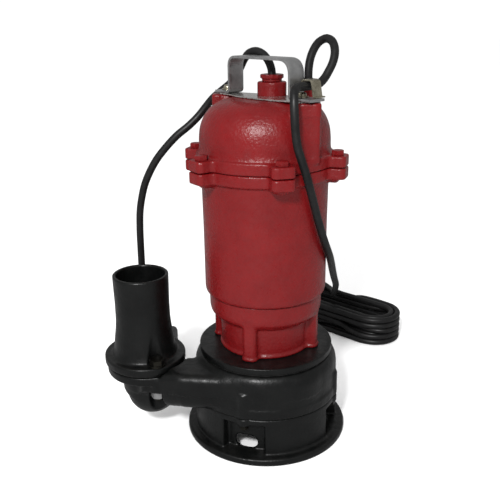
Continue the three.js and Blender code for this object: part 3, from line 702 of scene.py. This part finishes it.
def neck_field(x, y, z):
    """A box with rounded corners carried along the route: the nearest stretch decides."""
    field = 1e3
    for (ax, ay, az), (bx, by, bz) in zip(NECK_ROUTE[:-1], NECK_ROUTE[1:]):
        ex, ey = bx - ax, by - ay
        t = np.clip(((x - ax) * ex + (y - ay) * ey) / (ex * ex + ey * ey), 0, 1)
        aside = np.hypot(x - ax - ex * t, y - ay - ey * t)
        rise = z - az - (bz - az) * t
        upper = box_field(aside, rise, 25.5, 23.0, 9.0)
        lower = np.hypot(aside, rise * 1.05) - 25.5
        field = np.minimum(field, blend_max(upper, np.where(rise < 0, lower, -30), 6.0))
    return field


def volute_field(x, y, z):
    across, out = quarter(x, y)
    pan = polygon_field(np.hypot(x, y), z, PAN_PROFILE)
    elbow = np.sqrt((x + 130) ** 2 + (y + 9.5) ** 2 + (z - 50.8) ** 2) - 28.6
    riser = pillar_field(x, y, z, OUTLET, 26.8, 52, 80, 2.0)
    flange = blend_max(lobes(x, y, 45, 2.5), np.abs(z - 79.85) - 4.85, 1.6)
    shoulder = blend_max(np.hypot(x + 134, y + 6) - 42, np.maximum(64 - z, -x - 138), 8.0)
    lug = pillar_field(across, out, z, (0, LUG_RADIUS), 6.8, 50.4, 79.5, 3.0)
    neck = blend_max(neck_field(x, y, z), 66 - np.hypot(x, y), 2.0)
    skin = blend_min(blend_min(pan, neck, 7.0), lug, 3.0)
    skin = blend_min(skin, blend_min(elbow, riser, 6.0), 13.0)
    skin = blend_min(skin, blend_max(shoulder, z - 80, 1.0), 7.0)
    skin = blend_min(skin, flange, 3.0)
    for sx, sy in STUDS:
        skin = blend_min(skin, pillar_field(x, y, z, (sx, sy), 9.0, 66, 80, 1.2), 3.0)
        skin = blend_max(skin, 10.2 - np.maximum(np.hypot(x - sx, y - sy), z - 55.6), 1.0)
        skin = blend_max(skin, 5.2 - np.hypot(x - sx, y - sy), 0.6)
    bore = blend_max(np.hypot(x - OUTLET[0], y - OUTLET[1]) - 23, 60 - z, 4.0)
    pocket = np.sqrt((x + 131.5) ** 2 + (y + 10) ** 2 + (z - 56) ** 2) - 21
    skin = blend_max(skin, -blend_min(bore, pocket, 4.0), 1.0)
    tube_room = np.maximum(np.hypot(x - OUTLET[0], y - OUTLET[1]) - 50, 84.7 - z)
    foot_room = np.maximum(np.hypot(x, y) - 82.5, z - 50.3)
    cover_room = np.maximum(np.hypot(x, y) - 75.5, 98.7 - z)
    for room in (tube_room, foot_room, cover_room):
        skin = blend_max(skin, -room, 1.0)
    return skin


shape = cast(volute_field, (-190, -87, 19), (87, 87, 104), 1.45)
make("volute", shape, BLACK, ["volute_casing"], CAST_EDGE)

# %% [markdown]
# ## Cover and oil chamber
# The cover is a plain turned disc with a crisp edge. The oil chamber above it is cast: a drum with
# four broad ribs under a wider band, on a thin foot that follows the ribs.

# %% Cover
COVER_PROFILE = rounded(
    [(14, 93), (61.5, 93), (61.5, 100.2), (74.5, 100.2), (74.5, 107.1), (14, 107.1)],
    [[0.5], [0.5], [0.5], [0.9], [1.1], [0.5]],
)
make("cover_disc", turned(spaced(COVER_PROFILE, 4), columns=144), BLACK, ["pump_cover"])

# %% Oil chamber
CHAMBER_PROFILE = rounded(
    [
        (13, 107.4), (50, 107.4), (49, 112), (50.3, 141), (56.6, 145.2), (60.2, 149), (61.4, 154),
        (61.5, 170.3), (55.5, 170.3), (54, 157), (24, 157), (24, 164), (17.8, 164), (17.8, 152.2),
        (12, 152.2), (12, 146), (42, 146), (42, 117.6), (16, 117.6), (16, 112.6), (13, 112.6),
    ],
    1.4,
)


def chamber_field(x, y, z):
    across, out = quarter(x, y)
    drum = polygon_field(np.hypot(x, y), z, CHAMBER_PROFILE)
    rib = box_field(across, out - 48, 7.6, 11.6, 5.5)
    ribs = blend_max(rib, np.maximum(107.4 - z, z - 147.5), 3.0)
    ribs = blend_max(ribs, 44 - np.hypot(x, y), 1.0)
    skin = blend_min(drum, ribs, 4.0)
    rim = blend_max(blend_max(skin - 1.3, z - 110.6, 1.5), 44 - np.hypot(x, y), 1.0)
    return blend_max(blend_min(skin, rim, 1.5), 107.4 - z, 0.8)


shape = cast(chamber_field, (-65, -65, 104), (65, 65, 174), 1.45)
make("chamber", shape, RED, ["oil_chamber"], CAST_EDGE)

# %% [markdown]
# ## Barrel and top cover
# Both are turned castings with six joint lugs. Under the barrel's flange each lug runs down into a
# rounded root. The dome has two raised bosses, each a block with rounded corners, and a round
# pillar for the supply lead's gland.

# %% Barrel
JOINT_ANGLES = np.radians([12, 72, 132, 192, 252, 306])
BARREL_PROFILE = rounded(
    [
        (56, 170.6), (63.4, 170.6), (65.2, 172.4), (66, 176), (66, 240), (66.6, 290), (67.6, 297.6),
        (70.9, 299), (70.9, 310.4), (60, 310.4), (60, 180), (57.5, 176),
    ],
    [[0.8], [1.6], [1.2], [1.6], [9.0], [4.0], [1.5], [1.2], [1.2], [0.6], [1.5], [1.5]],
)


def toward_lug(x, y):
    """Coordinates across and outwards, measured from the nearest joint lug."""
    turns = np.arctan2(x, -y)[..., None] - JOINT_ANGLES
    turns = (turns + math.pi) % (2 * math.pi) - math.pi
    nearest = np.abs(turns).argmin(axis=-1)[..., None]
    angle = np.take_along_axis(turns, nearest, axis=-1)[..., 0]
    r = np.hypot(x, y)
    return r * np.sin(angle), r * np.cos(angle)


def joint_flange(across, out, r, z, middle, half):
    """A ring with a square nose at each lug, all with one soft outline."""
    nose = box_field(across, out - 71.5, 11.6, 15.6, 5.5)
    plan = blend_max(blend_min(r - 70.9, nose, 6.0), 60.4 - r, 0.5)
    return blend_max(plan, np.abs(z - middle) - half, 1.7)


def barrel_field(x, y, z):
    across, out = toward_lug(x, y)
    r = np.hypot(x, y)
    lug = joint_flange(across, out, r, z, 304.6, 5.8)
    root = np.hypot(across * 0.86, (z - 301) * 1.2) - 8.8
    root = blend_max(blend_max(root, out - 79, 4.0), 60.4 - r, 0.5)
    skin = blend_min(blend_min(polygon_field(r, z, BARREL_PROFILE), lug, 2.0), root, 3.5)
    skin = blend_max(skin, np.maximum(60 - r, z - 310.4), 0.8)
    return blend_max(skin, np.maximum(-z + 170.6, 56 - r), 0.3)


shape = cast(barrel_field, (-90, -90, 167), (90, 90, 314), 1.7)
make("barrel", shape, RED, ["motor_barrel"], CAST_EDGE)

# %% Top cover
DOME_PROFILE = rounded(
    [
        (0.01, 376), (0.01, 369), (30, 369), (46, 362), (56, 352), (60, 338), (60, 311), (70.9, 311),
        (70.9, 322.3), (69.4, 322.7), (68, 328), (67.9, 338), (66.6, 349), (62.6, 359),
        (56, 367.6), (46, 373.6), (36, 376),
    ],
    [[0.1], [0.1], [6], [6], [6], [6], [0.8], [1.3], [1.4], [1.5], [2.4], [5], [5], [5], [5], [5], [4]],
)
DOME_HOLLOW = [(-9, 300), (60, 300), (60, 338), (56, 352), (46, 362), (30, 369), (-9, 369)]
STRAP_BOSSES = [(24.5, -54, 53, -29), (-55, 31, -27, 51)]  # low x, low y, high x, high y
REAR_GLAND = (45, 15)
MIDDLE_GLAND = (7.7, 13)
STRAP_ANGLE = math.radians(-47)
ALONG = np.array([math.sin(STRAP_ANGLE + math.pi / 2), -math.cos(STRAP_ANGLE + math.pi / 2)])
ASIDE = np.array([-ALONG[1], ALONG[0]])
STRAP_SCREWS = [reach * ALONG for reach in (52.5, -57)]


def top_cover_field(x, y, z):
    across, out = toward_lug(x, y)
    r = np.hypot(x, y)
    skin = polygon_field(r, z, DOME_PROFILE)
    skin = blend_min(skin, joint_flange(across, out, r, z, 316.65, 5.65), 3.0)
    for x0, y0, x1, y1 in STRAP_BOSSES:
        block = box_field(x - (x0 + x1) / 2, y - (y0 + y1) / 2, (x1 - x0) / 2, (y1 - y0) / 2, 3.4)
        block = blend_max(block, np.maximum(z - 376, 319 - z), 2.2)
        skin = blend_min(skin, blend_max(block, 57.5 - np.hypot(r, np.maximum(338 - z, 0)), 0.1), 3.0)
        skin = blend_min(skin, blend_max(block, 365 - z, 0.1), 3.0)
    pillar = pillar_field(x, y, z, REAR_GLAND, 13, 330, 386, 1.5)
    skin = blend_min(skin, pillar, 3.0)
    skin = blend_max(skin, 6.4 - np.hypot(x - REAR_GLAND[0], y - REAR_GLAND[1]), 1.0)
    for sx, sy in (*STRAP_SCREWS, MIDDLE_GLAND):
        hole = 2.8 if sy != MIDDLE_GLAND[1] else 6.4
        skin = blend_max(skin, hole - np.hypot(x - sx, y - sy), 0.6)
    skin = blend_max(skin, -polygon_field(r, z, DOME_HOLLOW), 0.6)
    return blend_max(skin, 311 - z, 0.8)


shape = cast(top_cover_field, (-90, -90, 307), (90, 90, 389), 1.35)
make("top_casting", shape, RED, ["top_cover"], CAST_EDGE)

# %% [markdown]
# ## Bolts
# A hexagon's radius at an angle is its half width over the cosine of the angle to the nearest
# flat's middle. The chamfer on a head is a cone, so its edge rises towards the corners: height
# falls by tan 30 degrees for each millimetre beyond the half width.

# %% Bolts and screws
HEX_COLUMNS = 72


def six_sided(half, turn=0.0):
    """R = half / cos b, with b the angle to the middle of the nearest flat."""
    angle = np.arange(HEX_COLUMNS) * 2 * math.pi / HEX_COLUMNS
    nearest = (angle - turn + math.pi / 6) % (math.pi / 3) - math.pi / 6
    return half / np.cos(nearest)


def rings(centre, rows):
    """Points of one ring for each row of radius and height, either of them one number or many."""
    angle = np.arange(HEX_COLUMNS) * 2 * math.pi / HEX_COLUMNS
    return np.vstack([
        np.column_stack([
            centre[0] + r * np.sin(angle), centre[1] - r * np.cos(angle), np.broadcast_to(z, HEX_COLUMNS),
        ])
        for r, z in rows
    ])


def hexagon(centre, flats, low, top, turn=0.0, both=False):
    """A head from the bottom to the top, chamfered above, and below too if both ends show."""
    half = flats / 2
    flat = six_sided(half, turn)
    drop = (flat - half) * math.tan(math.pi / 6) + 0.25
    rows = [
        (flat if not both else np.minimum(flat, half * 0.97), low),
        (flat, low + (drop if both else 0.15)),
        (flat, top - drop),
        (np.minimum(flat, half) * 0.955, top - 0.12),
        (half * 0.86, top),
    ]
    loop = np.arange(HEX_COLUMNS)
    caps = [loop[::-1], (len(rows) - 1) * HEX_COLUMNS + loop]
    return rings(centre, rows), grid_quads(len(rows), HEX_COLUMNS, False), caps


def hexagon_nut(centre, flats, hole, low, top):
    """A nut with a hole, chamfered at both ends."""
    half = flats / 2
    flat = six_sided(half)
    drop = (flat - half) * math.tan(math.pi / 6) + 0.2
    rows = [
        (hole, low + 0.2), (half * 0.93, low), (flat, low + drop), (flat, top - drop),
        (half * 0.93, top), (hole, top - 0.1),
    ]
    return rings(centre, rows), grid_quads(len(rows), HEX_COLUMNS, True), ()


def disc(centre, r, low, top, edge=0.4, columns=48):
    profile = rounded([(0.05, low), (r, low), (r, top), (0.05, top)], [[0.0], [edge], [edge], [0.0]], False)
    return turned(profile, centre, columns, hollow=False)


for i, angle in enumerate(LUG_ANGLE + np.arange(4) * math.pi / 2):
    centre = polar(angle, LUG_RADIUS)
    bolt = joined(hexagon(centre, 9, 36.5, 42.7, angle, both=True), disc(centre, 3.1, 42, 71))
    make(f"foot_bolt_{i + 1}", bolt, PAINTED, [f"stand_bolt_{i + 1}"], edge=25)

for i, angle in enumerate(JOINT_ANGLES):
    centre = polar(angle, 77)
    turn = 0.4 + 2.1 * i  # each bolt stopped where it was tight
    bolt = joined(hexagon(centre, 12, 322.6, 327.2, turn), disc(centre, 3.1, 303, 322.7))
    make(f"joint_bolt_{i + 1}", bolt, RED, [f"cover_bolt_{i + 1}"], edge=30)

for i, centre in enumerate(STUDS):
    bolt = joined(
        hexagon(centre, 15, 97.5, 104, 0.3 + 1.3 * i),
        disc(centre, 9, 95.8, 97.6),
        disc(centre, 4.8, 54, 97.8),
    )
    make(f"outlet_bolt_{i + 1}", bolt, PAINTED, [f"discharge_bolt_{i + 1}"], edge=25)
    nut = hexagon_nut(centre, 15, 5.1, 57.7, 65.7)
    make(f"outlet_nut_{i + 1}", nut, ZINC, [f"discharge_nut_{i + 1}"], edge=25)

# %% [markdown]
# ## Glands
# Each gland is a body with a cap screwed on to it. The cap has shallow grips: its radius is cut in
# by a bump that repeats round it. A rubber sleeve comes out of the top with the lead.

# %% Glands
def gripped(count, depth):
    """R = r - depth (1 - |cos(n a / 2)|^6) on the rows of the cap's wide part."""
    def outline(angle, r, z):
        return r - depth * (1 - np.abs(np.cos(count * angle / 2)) ** 6) * (r > r.max() - 0.4), z
    return outline


def gland_cap(name, centre, low, neck, wide, node):
    corners = [
        (5.7, low), (neck, low), (neck, low + 2.6), (wide, low + 3.2), (wide, low + 7), (5.7, low + 7),
    ]
    profile = spaced(rounded(corners, [[0.4], [0.4], [0.5], [0.8], [1.1], [0.5]]), 1.6)
    make(name, turned(profile, centre, 120, True, gripped(12, 0.7)), RED, [node])


def sleeve(name, centre, low, node):
    corners = [(4.5, low), (5.3, low), (5.3, low + 8), (4.9, low + 10.5), (4.5, low + 10.5)]
    profile = rounded(corners, [[0.1], [0.1], [0.6], [0.3], [0.1]])
    return make(name, turned(profile, centre, 64), RUBBER, [node])


body = rounded(
    [(5.7, 376.3), (15, 376.3), (15, 391.5), (5.7, 391.5)], [[0.3], [0.5], [1.8], [0.5]], True, 6
)
make("middle_gland", turned(spaced(body, 3), MIDDLE_GLAND, 120), RED, ["gland_center"])
gland_cap("middle_cap", MIDDLE_GLAND, 391.8, 10.2, 12, "gland_center_cap")
gland_cap("rear_cap", REAR_GLAND, 386.3, 9.4, 11, "gland_rear_cap")
middle_sleeve = sleeve("middle_sleeve", MIDDLE_GLAND, 387, "gland_center_sleeve")
rear_sleeve = sleeve("rear_sleeve", REAR_GLAND, 384, "gland_rear_sleeve")

# %% [markdown]
# ## Lifting strap, plate and clip
# The strap is a flat bar bent into a bridge. Its path is a line with arcs at the bends, and a
# rounded rectangle is carried along it. The clip is the same kind of thing, bent more tightly.

# %% Bent strips
def bent_strip(path, width, thick, origin, along, aside, edge=0.5):
    """Section points s carried along the path: p(t) + n(t) s1 + aside s2, n the path's normal."""
    path = np.asarray(path, float)
    step = np.gradient(path, axis=0)
    step /= np.linalg.norm(step, axis=1, keepdims=True)
    normal = np.column_stack([-step[:, 1], step[:, 0]])
    half_w, half_t = width / 2, thick / 2
    corners = [(-half_t, -half_w), (half_t, -half_w), (half_t, half_w), (-half_t, half_w)]
    section = spaced(rounded(corners, edge, True, 3), 3.5)
    columns = len(section)
    flat = path[:, None, :] + normal[:, None, :] * section[None, :, :1]
    side = np.broadcast_to(section[None, :, 1], flat.shape[:2])
    points = np.empty((*flat.shape[:2], 3))
    points[..., :2] = origin[:2] + flat[..., :1] * along + side[..., None] * aside
    points[..., 2] = origin[2] + flat[..., 1]
    caps = [np.arange(columns)[::-1], (len(path) - 1) * columns + np.arange(columns)]
    return points.reshape(-1, 3), grid_quads(len(path), columns, False), caps


LEG, TOP, BASE, THICK = 45.5, 417.0, 378.2, 2.6
middle = THICK / 2
strap_path = rounded(
    [
        (-LEG - 21, BASE + middle), (-LEG + middle, BASE + middle), (-LEG + middle, TOP - middle),
        (LEG - middle, TOP - middle), (LEG - middle, BASE + middle), (LEG + 27, BASE + middle),
    ],
    [[0], [4.0], [10], [15], [4.0], [0]],
    closed=False, steps=12,
)
strap_path = spaced(strap_path, 2.5, closed=False)
strap = bent_strip(strap_path, 20, THICK, np.zeros(3), ALONG, ASIDE)
make("lifting_bar", strap, ZINC, ["lifting_strap"], edge=35)

for i, (sx, sy) in enumerate(STRAP_SCREWS):
    head = rounded(
        [(0.05, 382), (4.6, 382), (4.6, 384.2), (3.2, 385.9), (0.05, 386.2)],
        [[0], [0.3], [1.4], [1.2], [0]], False,
    )
    head = turned(head, (sx, sy), 64, hollow=False)
    screw = joined(head, disc((sx, sy), 6.2, 381.1, 382.2), disc((sx, sy), 2.5, 366, 382.1))
    make(f"strap_bolt_{i + 1}", screw, BRASSY, [f"strap_screw_{i + 1}"], edge=30)

clip_path = rounded(
    [(13, -2.1), (8.9, -2.1), (5.9, 13.3), (-5.9, 13.3), (-6.7, 6.8)],
    [[0], [1.2], [3.0], [3.0], [0]], closed=False, steps=8,
)
clip_turn = math.radians(-45.7)
clip_along = np.array([math.cos(clip_turn), math.sin(clip_turn)])
clip_aside = np.array([math.sin(clip_turn), -math.cos(clip_turn)])
clip_path = spaced(clip_path, 0.8, closed=False)
clip = bent_strip(clip_path, 13, 1.4, np.array([44, -37, 383.9]), clip_along, clip_aside, 0.3)
make("lead_clip", clip, BRASSY, ["cord_clip"], edge=35)

PLATE = rounded(
    [(-61, -9.6), (-44, -10), (-28, -15.6), (0, -17.2), (30, -15.6), (46, -10), (61, -9.6),
     (61, 9.6), (46, 10), (30, 15.6), (0, 17.2), (-28, 15.6), (-44, 10), (-61, 9.6)],
    [[3], [7], [7], [10], [7], [7], [3], [3], [7], [7], [10], [7], [7], [3]], True, 8,
)


def plate_field(x, y, z):
    """The outline in the strap's own directions, less holes for the gland and the screws."""
    along = x * ALONG[0] + y * ALONG[1]
    aside = x * ASIDE[0] + y * ASIDE[1]
    skin = polygon_field(along, aside, PLATE)
    for (sx, sy), hole in ((MIDDLE_GLAND, 15.3), (STRAP_SCREWS[0], 3.1), (STRAP_SCREWS[1], 3.1)):
        skin = np.maximum(skin, hole - np.hypot(x - sx, y - sy))
    return blend_max(skin, np.abs(z - 377.1) - 0.8, 0.4)


shape = cast(plate_field, (-58, -58, 375.5), (58, 58, 378.8), 0.75)
make("name_plate", shape, BRIGHT, ["top_plate"], edge=50)

# %% [markdown]
# ## Outlet tube
# The tube narrows upwards from a flange that matches the one on the elbow. Its wall is a profile of
# radius and height, and the flange's outline is its own radius for each angle.

# %% Outlet tube
TUBE_PROFILE = rounded(
    [
        (23, 86.5), (36.6, 86.5), (36.6, 97), (34.4, 103), (33, 114), (31.2, 126), (30.2, 137),
        (30, 157), (30.4, 175), (30.6, 188.2), (30, 189.2), (26.9, 189.2), (26.5, 170), (26, 130),
        (24, 100),
    ],
    [[0.6], [0.6], [4], [5], [5], [5], [5], [5], [5], [0.5], [0.5], [1.2], [4], [6], [6]],
)


def tube_field(x, y, z):
    skin = polygon_field(np.hypot(x - OUTLET[0], y - OUTLET[1]), z, TUBE_PROFILE)
    flange = blend_max(lobes(x, y, 46.5, 1.5), np.abs(z - 91) - 4.5, 1.8)
    flange = blend_max(flange, 24 - np.hypot(x - OUTLET[0], y - OUTLET[1]), 0.3)
    skin = blend_min(skin, flange, 3.5)
    for sx, sy in STUDS:
        away = np.hypot(x - sx, y - sy)
        skin = blend_max(skin, 5.2 - away, 0.3)
        skin = blend_max(skin, -np.maximum(away - 9.7, 95.5 - z), 0.8)
    return skin


shape = cast(tube_field, (-190, -58, 84), (-86, 46, 192), 1.4)
make("outlet_tube", shape, BLACK, ["discharge_tube"], CAST_EDGE)

# %% [markdown]
# ## Plug, float and tie
# The plug is a turned body with two pins, lying on its side. The float is two shells that meet in
# a seam, and the tie is a flat rubber band round the near run of the hank.

# %% Plug
def carried(parts, axis, side, up, origin):
    """Points (x, y, z) become origin + x side + y up + z axis."""
    points, quads, caps = parts
    basis = np.array([side, up, axis], float)
    return points @ basis + origin, quads, caps


plug_angle = math.radians(90) + HANK_ANGLE
plug_axis = np.array([math.cos(plug_angle), math.sin(plug_angle), 0])
plug_side = np.array([-plug_axis[1], plug_axis[0], 0])
plug_place = np.array([-41, 253.5, 17.9])
plug_profile = rounded(
    [
        (0.05, -1.4), (16.8, -1.4), (17.8, 0), (17.8, 9), (15.6, 13), (10, 18), (6.4, 30), (5.4, 46),
        (0.05, 46),
    ],
    [[0], [0.8], [1.0], [3], [3], [5], [6], [1.0], [0]], False,
)
plug_body = turned(spaced(plug_profile, 2.5, closed=False), (0, 0), 96, False)
pin_profile = rounded([(0.05, -21), (2.4, -21), (2.4, 0), (0.05, 0)], [[0], [1.2], [0.2], [0]], False)
pins = [turned(pin_profile, (0, side * 9.5), 40, False) for side in (-1, 1)]
body = carried(plug_body, plug_axis, plug_side, (0, 0, 1), plug_place)
prongs = carried(joined(*pins), plug_axis, (0, 0, -1), plug_side, plug_place)
plug = make("plug_body", body, RUBBER, ["supply_plug"], edge=35)
plug_pins = make("plug_pins", prongs, BRIGHT, edge=35)

# %% Float
FLOAT_OUTLINE = rounded(
    [
        (-38, -9), (-22, -22), (0, -25), (24, -25), (40, -25), (40, 25), (24, 25), (0, 25), (-22, 22),
        (-38, 9),
    ],
    [[3], [9], [9], [6], [14], [14], [6], [9], [9], [3]], True, 8,
)


def float_field(x, y, z):
    """A rounded slab in the outline, with a shallow groove where its halves meet."""
    u, v = y - 152, -(x + 150)
    skin = blend_max(polygon_field(u, v, FLOAT_OUTLINE), np.abs(z - 18.1) - 17.7, 9.0)
    groove = np.hypot(np.maximum(-skin, 0) * 0.6, z - 18.1) - 0.9
    return blend_max(skin, -groove, 0.8)


shape = cast(float_field, (-180, 108, -3), (-120, 198, 39), 1.4)
float_body = make("float_body", shape, PLASTIC, ["float_switch"], CAST_EDGE)

# %% Tie
c, s = math.cos(HANK_ANGLE), math.sin(HANK_ANGLE)
RUN_RADIUS = 29.55  # from the middle of the hank to the middle of its near run
TIE_SHIFT = 30  # how far along the run the tie sits


def tie_field(x, y, z):
    u = (x - HANK_CENTRE[0]) * c + (y - HANK_CENTRE[1]) * s + TIE_SHIFT
    v = -(x - HANK_CENTRE[0]) * s + (y - HANK_CENTRE[1]) * c + RUN_RADIUS
    loop = np.abs(box_field(v, z - 21.8, 9.8, 21.6, 4.0)) - 0.55
    return blend_max(loop, np.abs(u) - 4.2, 0.5)


tie_centre = HANK_CENTRE + np.array([RUN_RADIUS * s - TIE_SHIFT * c, -RUN_RADIUS * c - TIE_SHIFT * s])
shape = cast(tie_field, (*(tie_centre - 14), -2), (*(tie_centre + 14), 46), 0.6)
tie = make("tie_band", shape, RUBBER, ["coil_tie"], CAST_EDGE)

# %% [markdown]

# %% [markdown]
# ## Floor, light and backdrop
# The pump stands on a broad white sheet in an even white room. One soft lamp in front and above
# puts a compact highlight on the dome and on each shoulder, and the rest comes from all round.
# Shiny surfaces see the room darker than it is, as they would with the walls further away.

# %% Studio
REACH = 12.0  # half the floor's side, in metres
WHITE_ROOM, MIRRORED_ROOM, MIRRORED_FLOOR = 1.06, 0.4, (0.3, 0.3, 0.3)

floor_mesh = bpy.data.meshes.new("floor")
corners = [(-REACH, -REACH, 0), (REACH, -REACH, 0), (REACH, REACH, 0), (-REACH, REACH, 0)]
floor_mesh.from_pydata(corners, [], [(0, 1, 2, 3)])
floor = bpy.data.objects.new("floor", floor_mesh)
bpy.context.scene.collection.objects.link(floor)
paper = Finish("white_paper", roughness=0.7)
sheet = paper.ramp(paper.noise(1.5, 2), (0.3, 0.95), (0.7, 0.97))
mirrored = paper.node("ShaderNodeLightPath").outputs["Is Glossy Ray"]
paper.colour(paper.mix(mirrored, sheet, MIRRORED_FLOOR))
paper.shine(0.0)
floor_mesh.materials.append(paper.material)

world = bpy.data.worlds.new("room")
bpy.context.scene.world = world
world.use_nodes = True
background = world.node_tree.nodes["Background"]
background.inputs["Color"].default_value = (1, 1, 1, 1)
links = world.node_tree.links
path = world.node_tree.nodes.new("ShaderNodeLightPath")
level = world.node_tree.nodes.new("ShaderNodeMapRange")
level.inputs["To Min"].default_value = WHITE_ROOM
level.inputs["To Max"].default_value = MIRRORED_ROOM
links.new(path.outputs["Is Glossy Ray"], level.inputs["Value"])
links.new(level.outputs["Result"], background.inputs["Strength"])

light = bpy.data.lights.new("key", "AREA")
light.size = 0.2
light.energy = 34
key = bpy.data.objects.new("key", light)
bpy.context.scene.collection.objects.link(key)
key.location = (-0.30, -1.35, 1.22)
aim = Matrix.Translation(place((0, 0, 200))).translation - key.location
key.rotation_euler = aim.to_track_quat("-Z", "Y").to_euler()
bpy.context.scene.view_settings.view_transform = "Standard"
